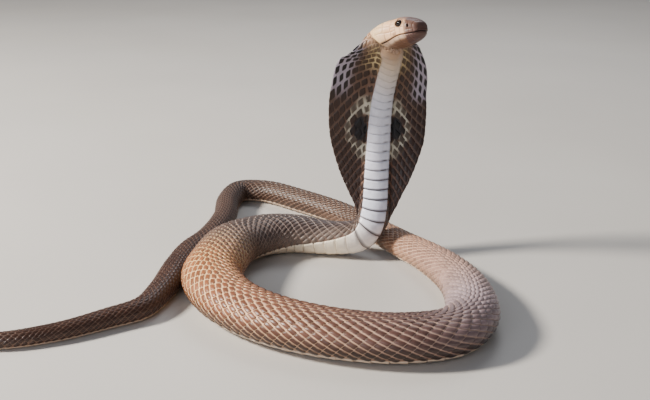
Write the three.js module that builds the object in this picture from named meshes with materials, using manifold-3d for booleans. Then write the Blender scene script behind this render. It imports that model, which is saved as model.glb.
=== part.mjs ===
import * as THREE from "three";
import Module from "manifold-3d";

// Spectacled cobra, life size, reared with its hood spread and the rest of it lying in a loop.
// Millimetres, +Z up, the floor at Z = 0, the viewer on the -Y side.

// From the middle of the coil's own plan to the middle of the floor box round the whole animal.
const PLAN_SHIFT = [-111.0, -71.3];

// Head: place of the snout, the way it looks (turn from +X towards the viewer, then up), and the
// lean and turn of its crown.
const SNOUT = [68.3, -93.0, 191.6];
const HEAD_TURN = 52;
const HEAD_PITCH = 21;
const CROWN = [21, 25];
const STRAIGHT_HEAD = 32;

// Route of the spine from the nape to the tail: x, y, z, then the lean and the turn of the back
// in degrees.
const NAPE = [
  [48.4, -65.2, 172.6, 42, 32],
  [48.6, -58.6, 165.0, 62, 26],
  [47.8, -53.6, 157.5, 78, 20],
  [46.3, -49.6, 149.0, 86, 18],
  [44.6, -46.6, 140.0, 90, 18],
];
const REARED = [
  [42.4, -44.0, 126.0, 90, 16],
  [41.2, -43.0, 110.0, 90, 12],
  [40.8, -42.5, 94.0, 90, 7],
  [40.5, -43.0, 77.0, 90, 2],
  [40.2, -45.0, 58.6, 90, -2],
  [39.3, -48.0, 42.0, 89, -4],
  [36.0, -50.0, 28.0, 84, -6],
];
const ARM = [
  [27.5, -51.0, 19.0, 70, -8],
  [12.0, -47.5, 15.5, 50, -8],
  [-8.0, -41.5, 14.8, 30, -8],
  [-29.0, -38.5, 15.2, 15, -8],
  [-50.0, -44.0, 16.2, 6, -8],
  [-69.5, -63.0, 17.5, 2, 0],
];
const LOOP = [
  [-78.8, -98],
  [-81.4, -134],
  [-67.5, -169],
  [-43.0, -196],
  [-14.0, -214],
  [18.0, -225],
  [50.0, -228],
  [80.5, -219.5],
  [96.2, -197],
  [100.5, -166],
  [97.0, -128],
];
const REAR_RUN = [
  [82.5, -85.5],
  [59.0, -43],
  [39.0, -8],
  [14.0, 27],
  [-21.0, 62],
  [-56.0, 91],
  [-79.0, 92],
  [-87.5, 64],
  [-87.0, 20],
  [-95.5, -38],
  [-105.4, -66],
  [-110.9, -94],
  [-118.0, -140],
];
const TAIL_RUN = [
  [-127.0, -167],
  [-147.0, -182],
  [-178.0, -202],
  [-214.0, -213],
  [-249.0, -205],
  [-276.0, -180],
  [-293.0, -146],
  [-306.0, -110],
  [-320.0, -77],
  [-339.5, -50],
];

// Trunk: distance behind the snout, then half of the width.
const HALF_WIDTH = [
  [0, 12], [44, 12.2], [60, 11.8], [100, 11.6], [160, 12], [195, 12.6], [230, 14.5], [260, 18],
  [290, 20.5], [335, 21.8], [385, 21.8], [445, 20.5], [525, 19.6], [600, 19], [665, 17.5],
  [725, 15.2], [785, 12.8], [845, 11.4], [945, 11], [1070, 10.1], [1150, 10.9], [1190, 10.6],
  [1225, 9.6], [1260, 8.4], [1300, 7.3], [1350, 6.3], [1400, 5.3], [1460, 4.1], [1510, 2.9], [1560, 1.2],
];
const BELLY_DEPTH = 0.95;
const BACK_HEIGHT = 0.9;
const REST_SQUASH = 0.16;
const HOOD_BELLY = 0.14;
const HOOD_BACK = 0.3;
const SINK = 0.1;
const LYING_FROM = 262;
const LYING_BLEND = 40;

// Hood: distance behind the snout, then the reach of a wing; how far the right wing slants towards
// the head and stands back; and the share of its reach left to the left wing, inside the turn.
const HOOD_REACH = [
  [32, 14], [36, 17.4], [40, 21], [44, 24.8], [48, 28.4], [53, 32.4], [58, 36], [66, 40.3],
  [78, 42.8], [92, 42.6], [106, 41], [120, 38.4], [134, 34.5], [148, 29.8], [160, 24.8],
  [170, 20.2], [178, 16.6], [186, 13.8], [194, 12.6],
];
const HOOD_SLANT = [
  [30, 0], [34, 0.08], [38, 0.21], [42, 0.33], [46, 0.39], [50, 0.35], [54, 0.29], [60, 0.26],
  [70, 0.24], [82, 0.19], [104, 0.09], [125, 0],
];
const HOOD_SET_BACK = [[32, 0], [38, 6], [46, 9], [58, 6], [76, 2], [94, 0]];
const HOOD_INNER = [[36, 1], [44, 0.78], [50, 0.76], [64, 0.79], [80, 0.83], [100, 0.91], [128, 1]];
const HOOD_END = 194;
const SET_BACK_POWER = 1.3;
const WING_THICKNESS = 2.2;
const WING_TAPER = 0.45;
const WING_RIM_POWER = 8;
const WING_FILLET_POWER = 2.4;
const WING_FULL_AT = 12;
const HOOD_CUP = 3.5;

// Head sections: distance behind the snout, then half width, height of the crown, depth of the
// throat, droop.
const HEAD_WIDTH = [
  [0, 0.6], [0.6, 4.2], [2, 6.3], [5, 8.2], [9, 9.6], [14, 11.2], [20, 12.8], [27, 15], [34, 16.6],
  [40, 16.4], [46, 14.6], [52, 12.6],
];
const HEAD_CROWN = [
  [0, 0.6], [0.6, 2.9], [2, 4.4], [5, 6.2], [10, 8.4], [16, 9.9], [24, 9.8], [34, 9.4], [44, 8.6],
  [52, 7.6],
];
const HEAD_THROAT = [
  [0, 0.6], [0.6, 4.2], [2, 6.2], [5, 7.8], [10, 9], [16, 9.8], [24, 10.4], [34, 10.4], [44, 9.9],
  [52, 9.6],
];
const HEAD_DROOP = [[0, 1.2], [10, 0.6], [20, 0], [52, 0]];
const CROWN_POWER = 2.7;
const THROAT_POWER = 2.3;
const HEAD_BLEND = [34, 50];

// Mouth: depth of its line under the middle of the head, from the chin to the corner.
const MOUTH_LINE = [
  [0, 3.6], [2, 4.3], [5, 4.2], [9, 3.8], [13, 3.5], [17, 3.8], [21, 4.6], [26, 5.8], [31, 6.4],
];
const MOUTH_CORNER = 31;
const CHIN_START = 1.1;
const EYE_RADIUS = 3.1;
const EYE_PLACE = [13.2, 8.1, 4.2];
const EYE_ROOM = 0.3;
const NOSTRIL_PLACE = [5.8, 8.2, 2];
const NOSTRIL_SIZE = [1.4, 1.7, 0.85];
const GAP = 0.3;

// Head shields of the right side, each as corners: mm behind the snout, degrees round from the
// middle of the crown.
const CROWN_SHIELDS = {
  internasal: [[2.7, 3], [2.8, 46], [5.9, 50], [6.6, 3]],
  prefrontal: [[7, 3], [6.3, 51], [8.4, 61], [11.6, 48], [12.2, 21], [11.4, 3]],
  supraocular: [[12.8, 24], [11.9, 46], [15.5, 49], [19.4, 45], [19, 22]],
  parietal: [[19.6, 22], [23.4, 3], [32.4, 3], [33, 26], [28.6, 47], [20.4, 45]],
};
const FRONTAL_SHIELD = [[12, 0], [13, 21], [18.6, 19], [22.6, 0], [18.6, -19], [13, -21]];
const CHEEK_SHIELDS = {
  nasal: [[3, 50], [3.2, 91], [8, 90], [8, 62], [6.2, 53]],
  preocular: [[8.5, 63], [8.5, 89], [10, 87], [10.2, 60], [9.6, 57]],
  upper_postocular: [[16.4, 52], [16.8, 70], [20, 70], [20, 48]],
  lower_postocular: [[16.9, 72], [15.6, 88], [20, 89], [20, 72]],
  front_temporal: [[20.6, 49], [20.6, 89], [26.6, 89], [27.8, 51]],
  rear_temporal: [[28.6, 51], [27.2, 89], [32.6, 87], [33, 52], [31.4, 42]],
};
const UPPER_LIP_EDGES = [2.4, 5.2, 8.4, 12, 15.6, 19.8, 25, 30.6];
const LOWER_LIP_EDGES = [3, 6.4, 10.2, 14.6, 19.4, 24.2, 29.4];
const LIP_TOP = 92;
const LIP_MARGIN = 3;
const CHIN_EDGE = 138;
const CHIN_SHIELDS = {
  front_chin: [[6.4, 142], [7, 177], [14.4, 177], [14.8, 142]],
  rear_chin: [[15.4, 142], [15, 177], [23.6, 176], [22.6, 146]],
};
const SHIELD_RAISE = 0.35;
const SHIELD_CROWNED = 1.2;
const SHIELD_ROOT = 0.8;
const SHIELD_STEP = 3.2;
const SHIELD_SEAM = 0.25;

// Belly scutes: share of the girth that they take, height of a free rear edge, and their spacing.
const SCUTE_SHARE = 0.13;
const SCUTE_EDGE = 0.8;
const SCUTE_STEP = 0.45;
const FIRST_SCUTE = 40;
const SCUTE_PITCH = [
  [40, 6], [100, 6.8], [150, 8], [200, 8.4], [300, 9.6], [420, 10.2], [560, 10.2], [760, 9.4],
  [950, 8.4], [1150, 7.4], [1280, 6.2], [1560, 4.6],
];
const SCUTE_COLUMNS = 3;
const BACK_COLUMNS = { stout: 6, slender: 5, tail: 3 };
const SLENDER_FROM = 700;
const TAIL_FROM = 1178;

// Where the lengths of the body part, in mm behind the snout.
const LENGTHS = [
  ["neck_base", 192, 224],
  ["forebody_arm", 224, 296],
  ["left_turn_a", 296, 338],
  ["left_turn_b", 338, 380],
  ["left_turn_c", 380, 424],
  ["front_coil_a", 424, 494],
  ["front_coil_b", 494, 560],
  ["right_turn_a", 560, 600],
  ["right_turn_b", 600, 640],
  ["rear_right_a", 640, 720],
  ["rear_right_b", 720, 800],
  ["rear_back_a", 800, 870],
  ["rear_back_b", 870, 902],
  ["rear_turn_a", 902, 930],
  ["rear_turn_b", 930, 958],
  ["rear_left_a", 958, 1040],
  ["rear_left_b", 1040, 1112],
  ["rear_left_c", 1112, 1178],
  ["tail_base", 1178, 1250],
  ["tail_a", 1250, 1330],
  ["tail_b", 1330, 1400],
  ["tail_c", 1400, 1470],
  ["tail_tip", 1470, 1600],
];

const wasm = await Module();
wasm.setup();

const radians = (degrees) => (degrees * Math.PI) / 180;

function smooth(a, b, x) {
  const t = Math.min(1, Math.max(0, (x - a) / (b - a)));
  return t * t * (3 - 2 * t);
}

// Value at x on a smooth monotone curve through [place, value] keys.
function along(keys, x) {
  const n = keys.length;
  const at = Math.min(Math.max(x, keys[0][0]), keys[n - 1][0]);
  const slope = (i) => (keys[i + 1][1] - keys[i][1]) / (keys[i + 1][0] - keys[i][0]);
  const tangent = (i) => {
    if (i === 0) return slope(0);
    if (i === n - 1) return slope(n - 2);
    const before = slope(i - 1);
    const after = slope(i);
    if (before * after <= 0) return 0;
    const h0 = keys[i][0] - keys[i - 1][0];
    const h1 = keys[i + 1][0] - keys[i][0];
    const w0 = 2 * h1 + h0;
    const w1 = h1 + 2 * h0;
    return (w0 + w1) / (w0 / before + w1 / after);
  };
  let i = 0;
  while (i < n - 2 && at >= keys[i + 1][0]) i += 1;
  const h = keys[i + 1][0] - keys[i][0];
  const t = (at - keys[i][0]) / h;
  return (
    (1 + 2 * t) * (1 - t) ** 2 * keys[i][1] +
    t * (1 - t) ** 2 * h * tangent(i) +
    t * t * (3 - 2 * t) * keys[i + 1][1] +
    t * t * (t - 1) * h * tangent(i + 1)
  );
}

const turn = radians(HEAD_TURN);
const pitch = radians(HEAD_PITCH);
const headAxis = [
  Math.cos(pitch) * Math.cos(turn),
  -Math.cos(pitch) * Math.sin(turn),
  Math.sin(pitch),
];
const onHead = (h) => [...SNOUT.map((v, k) => v - h * headAxis[k]), ...CROWN];
const lying = (rows) => rows.map(([x, y]) => [x, y, 0, 0, 0]);
const route = [
  onHead(0),
  onHead(STRAIGHT_HEAD / 3),
  onHead((STRAIGHT_HEAD * 2) / 3),
  onHead(STRAIGHT_HEAD),
  ...NAPE,
  ...REARED,
  ...ARM,
  ...lying(LOOP),
  ...lying(REAR_RUN),
  ...lying(TAIL_RUN),
];

// The route as a fine line of rows, a curve that passes through each of its places.
function fineLine(rows, steps) {
  const mix = (a, b, t) => a.map((v, k) => v + (b[k] - v) * t);
  const gap = (a, b) => Math.sqrt(Math.hypot(b[0] - a[0], b[1] - a[1], b[2] - a[2]));
  const ends = [mix(rows[1], rows[0], 2), ...rows, mix(rows.at(-2), rows.at(-1), 2)];
  const out = [];
  for (let i = 1; i < ends.length - 2; i += 1) {
    const [p0, p1, p2, p3] = ends.slice(i - 1, i + 3);
    const t1 = gap(p0, p1);
    const t2 = t1 + gap(p1, p2);
    const t3 = t2 + gap(p2, p3);
    for (let k = 0; k < steps; k += 1) {
      const t = t1 + ((t2 - t1) * k) / steps;
      const a1 = mix(p0, p1, t / t1);
      const a2 = mix(p1, p2, (t - t1) / (t2 - t1));
      const a3 = mix(p2, p3, (t - t2) / (t3 - t2));
      const b1 = mix(a1, a2, t / t2);
      const b2 = mix(a2, a3, (t - t1) / (t3 - t1));
      out.push(mix(b1, b2, (t - t1) / (t2 - t1)));
    }
  }
  out.push(rows.at(-1));
  return out;
}

const halfWidth = (s) => along(HALF_WIDTH, s);
const squash = (s) => 1 - REST_SQUASH * smooth(215, 305, s) * (1 - smooth(745, 945, s));
const LINE_STEPS = 24;
const line = fineLine(route, LINE_STEPS);
const mile = [0];
for (let i = 1; i < line.length; i += 1) {
  const [a, b] = [line[i - 1], line[i]];
  mile.push(mile[i - 1] + Math.hypot(b[0] - a[0], b[1] - a[1], b[2] - a[2]));
}
const LENGTH = mile.at(-1);

// The trunk lies on its belly: the spine is as high as its own section reaches down, less a
// little squash.
line.forEach((row, i) => {
  const s = mile[i];
  const lean = radians(row[3]);
  const deep = halfWidth(s) * BELLY_DEPTH * squash(s);
  const reach = Math.hypot(deep * Math.cos(lean), halfWidth(s) * Math.sin(lean));
  const k = smooth(LYING_FROM - LYING_BLEND, LYING_FROM, s);
  row[2] = row[2] * (1 - k) + (reach - SINK) * k;
  row[0] -= PLAN_SHIFT[0];
  row[1] -= PLAN_SHIFT[1];
});

function rowAt(s) {
  const at = Math.min(Math.max(s, 0), LENGTH);
  let lo = 0;
  let hi = line.length - 1;
  while (hi - lo > 1) {
    const mid = (lo + hi) >> 1;
    if (mile[mid] <= at) lo = mid;
    else hi = mid;
  }
  const t = (at - mile[lo]) / (mile[hi] - mile[lo]);
  return line[lo].map((v, k) => v + (line[hi][k] - v) * t);
}

// Frame at s: place, forward (to the head), back (out of the back), left (the animal's left).
const FRAME_REACH = 1.5;
function frameAt(s) {
  const row = rowAt(s);
  const a = rowAt(s - FRAME_REACH);
  const b = rowAt(s + FRAME_REACH);
  const forward = new THREE.Vector3(a[0] - b[0], a[1] - b[1], a[2] - b[2]).normalize();
  const lean = radians(row[3]);
  const yaw = radians(row[4]);
  const back = new THREE.Vector3(
    -Math.sin(yaw) * Math.sin(lean),
    Math.cos(yaw) * Math.sin(lean),
    Math.cos(lean),
  );
  back.addScaledVector(forward, -back.dot(forward)).normalize();
  const left = new THREE.Vector3().crossVectors(back, forward);
  const reach = Math.max(...sectionHalf(s).half.map((p) => p[0]), 1);
  return { place: new THREE.Vector3(row[0], row[1], row[2]), forward, back, left, reach };
}

const HALF_SAMPLES = 120;
const HEAD_CORE = 12;
const headShape = (s) => ({
  width: along(HEAD_WIDTH, s),
  crown: along(HEAD_CROWN, s),
  throat: along(HEAD_THROAT, s),
  droop: along(HEAD_DROOP, s),
});

// Half a section as [sideways, towards the belly] pairs, from the belly line round to the back line.
function headHalf(s) {
  const h = headShape(s);
  const out = [];
  for (let i = 0; i <= HALF_SAMPLES; i += 1) {
    const angle = (Math.PI * i) / HALF_SAMPLES;
    const c = Math.cos(angle);
    const n = c > 0 ? THROAT_POWER : CROWN_POWER;
    const tall = c > 0 ? h.throat : h.crown;
    const r = (Math.abs(Math.sin(angle) / h.width) ** n + Math.abs(c / tall) ** n) ** (-1 / n);
    out.push([r * Math.sin(angle), r * c + h.droop]);
  }
  return { half: out, core: Math.min(h.width, HEAD_CORE) };
}

function trunkHalf(s) {
  const core = halfWidth(s);
  const reared = 1 - smooth(165, 205, s);
  const belly = core * BELLY_DEPTH * squash(s) * (1 - HOOD_BELLY * reared);
  const back = core * BACK_HEIGHT * squash(s) * (1 - HOOD_BACK * reared);
  const reach = Math.max(s < HOOD_END ? along(HOOD_REACH, s) : 0, core);
  const spread = Math.min(1, (reach - core) / WING_FULL_AT);
  const out = [];
  for (let i = 0; i <= HALF_SAMPLES; i += 1) {
    const angle = (Math.PI * i) / HALF_SAMPLES;
    const x = reach * Math.sin(angle);
    const round = Math.sqrt(Math.max(0, 1 - (x / core) ** 2));
    const thin = Math.sqrt(Math.max(0, 1 - (x / reach) ** WING_RIM_POWER));
    const wing = spread * WING_THICKNESS * (1 - (WING_TAPER * x) / reach) * thin;
    const deep = angle <= Math.PI / 2 ? belly : back;
    const power = WING_FILLET_POWER;
    const thick = ((deep * round) ** power + wing ** power) ** (1 / power);
    const v = angle <= Math.PI / 2 ? thick : -thick;
    out.push([x, v + spread * HOOD_CUP * (x / reach) ** 2]);
  }
  return { half: out, core };
}

function sectionHalf(s) {
  if (s <= HEAD_BLEND[0]) return headHalf(s);
  const b = trunkHalf(s);
  if (s >= HEAD_BLEND[1]) return b;
  const a = headHalf(s);
  const k = smooth(HEAD_BLEND[0], HEAD_BLEND[1], s);
  const half = a.half.map(([x, v], i) => [
    x * (1 - k) + b.half[i][0] * k,
    v * (1 - k) + b.half[i][1] * k,
  ]);
  return { half, core: a.core * (1 - k) + b.core * k };
}

// A point of the skin in space: side is +1 for the animal's right and -1 for its left.
function place(s, frame, x, v, side) {
  const right = side > 0 ? 1 : 0;
  const across = side * x * (right ? 1 : along(HOOD_INNER, s));
  const slant = right * x * along(HOOD_SLANT, s);
  const out = Math.min(1, x / frame.reach);
  const setBack = right * along(HOOD_SET_BACK, s) * out ** SET_BACK_POWER;
  return frame.place
    .clone()
    .addScaledVector(frame.left, -across)
    .addScaledVector(frame.back, setBack - v)
    .addScaledVector(frame.forward, slant);
}

// Points of a half section at given shares of its own girth, the belly scutes taking their fixed share.
function shares(s, us) {
  const { half, core } = sectionHalf(s);
  const run = [0];
  for (let i = 1; i < half.length; i += 1) {
    run.push(run[i - 1] + Math.hypot(half[i][0] - half[i - 1][0], half[i][1] - half[i - 1][1]));
  }
  const widest = Math.max(...half.map((p) => p[0]));
  const limit = Math.min(SCUTE_EDGE * core, widest * 0.98);
  const edge = run[half.findIndex((p) => p[0] >= limit)];
  return us.map((u) => {
    const inScute = u <= SCUTE_SHARE;
    const a = inScute
      ? (u / SCUTE_SHARE) * edge
      : edge + ((u - SCUTE_SHARE) / (0.5 - SCUTE_SHARE)) * (run.at(-1) - edge);
    let i = 0;
    while (i < run.length - 2 && run[i + 1] < a) i += 1;
    const t = (a - run[i]) / (run[i + 1] - run[i]);
    return [
      half[i][0] + (half[i + 1][0] - half[i][0]) * t,
      half[i][1] + (half[i + 1][1] - half[i][1]) * t,
    ];
  });
}

// Rings joined into one closed skin; a vertex that stays where it was is shared, so a step can
// be partial.
function loft(rings) {
  const points = [];
  const faces = [];
  const n = rings[0].length;
  let before = null;
  const add = (p) => points.push(p.x, p.y, p.z) / 3 - 1;
  const tri = (a, b, c) => {
    if (a !== b && b !== c && c !== a) faces.push(a, b, c);
  };
  rings.forEach((ring, r) => {
    const now = ring.map((p, j) => {
      const same = before && rings[r - 1][j].distanceTo(p) < 1e-4;
      return same ? before[j] : add(p);
    });
    if (before) {
      for (let j = 0; j < n; j += 1) {
        const k = (j + 1) % n;
        tri(before[j], now[j], now[k]);
        tri(before[j], now[k], before[k]);
      }
    } else {
      for (let j = 1; j < n - 1; j += 1) tri(now[0], now[j], now[j + 1]);
    }
    before = now;
  });
  for (let j = 1; j < n - 1; j += 1) tri(before[0], before[j + 1], before[j]);
  return { points, faces };
}

function solid({ points, faces }) {
  const make = (triVerts) =>
    new wasm.Manifold(
      new wasm.Mesh({ numProp: 3, vertProperties: new Float32Array(points), triVerts }),
    );
  const made = make(new Uint32Array(faces));
  if (made.volume() > 0) return made;
  const turned = [];
  for (let i = 0; i < faces.length; i += 3) turned.push(faces[i], faces[i + 2], faces[i + 1]);
  return make(new Uint32Array(turned));
}

function fromGeometry(geometry, matrix) {
  const flat = geometry.clone().applyMatrix4(matrix);
  const position = flat.getAttribute("position");
  const seen = new Map();
  const points = [];
  const index = [];
  for (let i = 0; i < position.count; i += 1) {
    const p = [position.getX(i), position.getY(i), position.getZ(i)];
    const key = p.map((v) => v.toFixed(4)).join();
    if (!seen.has(key)) seen.set(key, points.push(...p) / 3 - 1);
    index.push(seen.get(key));
  }
  const order = flat.index ? Array.from(flat.index.array) : index.map((_, i) => i);
  const faces = [];
  for (let i = 0; i < order.length; i += 3) {
    const [a, b, c] = [index[order[i]], index[order[i + 1]], index[order[i + 2]]];
    if (a !== b && b !== c && c !== a) faces.push(a, b, c);
  }
  return solid({ points, faces });
}

const root = new THREE.Group();
root.name = "spectacled_cobra";

function addNode(name, body, look) {
  const mesh = body.getMesh();
  const n = mesh.numProp;
  const position = new Float32Array(mesh.numVert * 3);
  for (let i = 0; i < mesh.numVert; i += 1) {
    position.set(mesh.vertProperties.subarray(i * n, i * n + 3), i * 3);
  }
  const geometry = new THREE.BufferGeometry()
    .setAttribute("position", new THREE.BufferAttribute(position, 3))
    .setIndex(new THREE.BufferAttribute(new Uint32Array(mesh.triVerts), 1));
  geometry.computeVertexNormals();
  const node = new THREE.Mesh(geometry, new THREE.MeshStandardMaterial(look));
  node.name = name;
  root.add(node);
}

// Floor: everything that lies on it is cut flat at Z = 0.
const FLOOR_SIZE = 2000;
const underFloor = fromGeometry(
  new THREE.BoxGeometry(FLOOR_SIZE, FLOOR_SIZE, FLOOR_SIZE),
  new THREE.Matrix4().makeTranslation(0, 0, -FLOOR_SIZE / 2),
);

// Belly scutes start behind the chin and keep to one spacing curve down to the tip.
const scuteEdges = [FIRST_SCUTE];
while (scuteEdges.at(-1) < LENGTH - 4) {
  scuteEdges.push(scuteEdges.at(-1) + along(SCUTE_PITCH, scuteEdges.at(-1)));
}
scuteEdges[scuteEdges.length - 1] = LENGTH - 0.5;
function nearestEdge(s) {
  return scuteEdges.reduce((a, b) => (Math.abs(b - s) < Math.abs(a - s) ? b : a));
}

const bellyColumns = [];
for (let i = 0; i <= SCUTE_COLUMNS; i += 1) bellyColumns.push((SCUTE_SHARE * i) / SCUTE_COLUMNS);
const backColumns = (count) =>
  Array.from({ length: count }, (_, i) => SCUTE_SHARE + ((0.5 - SCUTE_SHARE) * (i + 1)) / count);
function halfOfSize(size) {
  const columns = [...bellyColumns, ...backColumns(BACK_COLUMNS[size])];
  return (s) => shares(s, columns);
}

// A ring of the trunk; raised lifts the belly scutes off the skin.
function trunkRing(s, raised, halfOf) {
  const frame = frameAt(s);
  const right = halfOf(s);
  const lift = (p, i) => (i < SCUTE_COLUMNS ? [p[0], p[1] + raised] : p);
  const one = right.map((p, i) => place(s, frame, ...lift(p, i), 1));
  const other = right.map((p, i) => place(s, frame, ...lift(p, i), -1));
  return [...one, ...other.slice(1, -1).reverse()];
}

// A length of the trunk with its scutes, each rising to a free rear edge over the next.
function scutedLength(from, to, halfOf, cutFlat) {
  const edges = scuteEdges.filter((e) => e >= from - 1e-6 && e <= to + 1e-6);
  const rings = [];
  for (let i = 0; i < edges.length - 1; i += 1) {
    const start = i === 0 ? edges[i] + GAP / 2 : edges[i];
    const end = i === edges.length - 2 ? edges[i + 1] - GAP / 2 : edges[i + 1];
    rings.push(trunkRing(start, 0, halfOf));
    rings.push(trunkRing(end, SCUTE_STEP, halfOf));
  }
  const body = solid(loft(rings));
  return cutFlat ? body.subtract(underFloor) : body;
}

// Core of the neck between the wings of the hood.
const CORE_SIDE = 0.93;
function coreHalf(s) {
  const { core } = sectionHalf(s);
  const side = core * CORE_SIDE;
  const fine = sectionHalf(s).half;
  const belly = fine.filter((p, i) => i <= HALF_SAMPLES / 2);
  const back = fine.filter((p, i) => i >= HALF_SAMPLES / 2).reverse();
  const at = (curve, x) => {
    const i = Math.max(1, curve.findIndex((p) => p[0] >= x));
    const t = (x - curve[i - 1][0]) / (curve[i][0] - curve[i - 1][0]);
    return [x, curve[i - 1][1] + (curve[i][1] - curve[i - 1][1]) * t];
  };
  const out = [];
  for (let i = 0; i < SCUTE_COLUMNS; i += 1) {
    out.push(at(belly, Math.max(1e-3, (SCUTE_EDGE * core * i) / SCUTE_COLUMNS)));
  }
  out.push(at(belly, SCUTE_EDGE * core));
  out.push(at(belly, side));
  const steps = BACK_COLUMNS.stout - 2;
  for (let i = 0; i <= steps; i += 1) out.push(at(back, Math.max(1e-3, side * (1 - i / steps))));
  out[0][0] = 0;
  out.at(-1)[0] = 0;
  return out;
}

// One wing of the hood, from the side of the core to its thin edge.
const WING_PARTS = [["upper", 40, 92], ["lower", 92, 186]];
const WING_STEP = 6;
const WING_COLUMNS = 7;
function wing(side, from, to) {
  const rings = [];
  const count = Math.round((to - from) / WING_STEP);
  for (let r = 0; r <= count; r += 1) {
    const s = from + GAP / 2 + ((to - from - GAP) * r) / count;
    const { half, core } = sectionHalf(s);
    const frame = frameAt(s);
    const start = core * CORE_SIDE + GAP;
    const middle = HALF_SAMPLES / 2;
    const belly = half.slice(0, middle + 1);
    const back = half.slice(middle).reverse();
    const reach = half[middle][0];
    const at = (curve, x) => {
      const found = curve.findIndex((p) => p[0] >= x);
      const i = Math.max(1, found < 0 ? curve.length - 1 : found);
      const t = (x - curve[i - 1][0]) / (curve[i][0] - curve[i - 1][0]);
      return [x, curve[i - 1][1] + (curve[i][1] - curve[i - 1][1]) * t];
    };
    const xs = [];
    for (let c = 0; c <= WING_COLUMNS; c += 1) {
      xs.push(start + (reach - start) * Math.sin((Math.PI / 2) * (c / WING_COLUMNS)));
    }
    const under = xs.map((x) => at(belly, x));
    const over = xs.slice(0, -1).map((x) => at(back, x)).reverse();
    rings.push([...under, ...over].map((p) => place(s, frame, p[0], p[1], side)));
  }
  return solid(loft(rings));
}

// Head: rings from the rostral shield to the nape.
const HEAD_TO = FIRST_SCUTE;
const HEAD_COLUMNS = 13;
function headRing(s) {
  const frame = frameAt(s);
  const { half } = sectionHalf(s);
  const one = [];
  const other = [];
  for (let i = 0; i <= HEAD_COLUMNS; i += 1) {
    const [x, v] = half[Math.round((HALF_SAMPLES * i) / HEAD_COLUMNS)];
    one.push(place(s, frame, x, v, 1));
    if (i > 0 && i < HEAD_COLUMNS) other.push(place(s, frame, x, v, -1));
  }
  return [...one, ...other.reverse()];
}
const headPlaces = [0, 0.3, 0.9, 1.8, 3.2, 5, 7.4, 10, 13, 16, 19.5, 23, 26.5, 30, 33, 35.5, 38];
const headBody = solid(loft([...headPlaces, HEAD_TO - GAP / 2].map(headRing)));

// A place given in the straight part of the head: behind the snout, sideways, up.
function inHead([back, side, up], hand) {
  const frame = frameAt(Math.min(back, STRAIGHT_HEAD - 4));
  const origin = new THREE.Vector3(...SNOUT);
  origin.x -= PLAN_SHIFT[0];
  origin.y -= PLAN_SHIFT[1];
  return origin
    .addScaledVector(frame.forward, -back)
    .addScaledVector(frame.left, -hand * side)
    .addScaledVector(frame.back, up);
}
function headMatrix(at) {
  const frame = frameAt(STRAIGHT_HEAD / 2);
  return new THREE.Matrix4()
    .makeBasis(frame.forward, frame.left, frame.back)
    .setPosition(at);
}

// The mouth as a slab under its line, wider than the head; grow moves its upper face.
function jawRegion(grow) {
  const rows = [];
  const WIDE = 30;
  const DEEP = 30;
  const STEPS = 8;
  const start = CHIN_START - 20;
  const end = MOUTH_CORNER + grow;
  for (let i = 0; i <= STEPS; i += 1) {
    const back = start + ((end - start) * i) / STEPS;
    const up = -along(MOUTH_LINE, back) + grow;
    rows.push([
      inHead([back, WIDE, up], 1),
      inHead([back, WIDE, up], -1),
      inHead([back, WIDE, -DEEP], -1),
      inHead([back, WIDE, -DEEP], 1),
    ]);
  }
  return solid(loft(rows));
}

const ball = (radius, at, size, rows) => {
  const m = headMatrix(at).multiply(new THREE.Matrix4().makeScale(...size));
  return fromGeometry(new THREE.SphereGeometry(radius, 2 * rows, rows), m);
};

// A place on the skin of the head, raised off it: mm behind the snout, degrees from the crown
// (plus on the animal's right), rise.
function onCheek(s, degrees, rise) {
  const h = headShape(s);
  const angle = radians(degrees);
  const down = -Math.cos(angle);
  const n = down > 0 ? THROAT_POWER : CROWN_POWER;
  const tall = down > 0 ? h.throat : h.crown;
  const across = Math.sin(angle);
  const r = (Math.abs(across / h.width) ** n + Math.abs(down / tall) ** n) ** (-1 / n) + rise;
  const frame = frameAt(s);
  return place(s, frame, Math.abs(r * across), r * down + h.droop, across < 0 ? -1 : 1);
}

// Angle of the mouth line from the crown at a distance behind the snout.
function mouthAngle(s) {
  for (let degrees = 90; degrees < CHIN_EDGE; degrees += 0.5) {
    const h = headShape(s);
    const angle = radians(degrees);
    const down = -Math.cos(angle);
    const n = THROAT_POWER;
    const r = (Math.sin(angle) / h.width) ** n + (down / h.throat) ** n;
    if (r ** (-1 / n) * down + h.droop > along(MOUTH_LINE, s)) return degrees;
  }
  return CHIN_EDGE;
}

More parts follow.
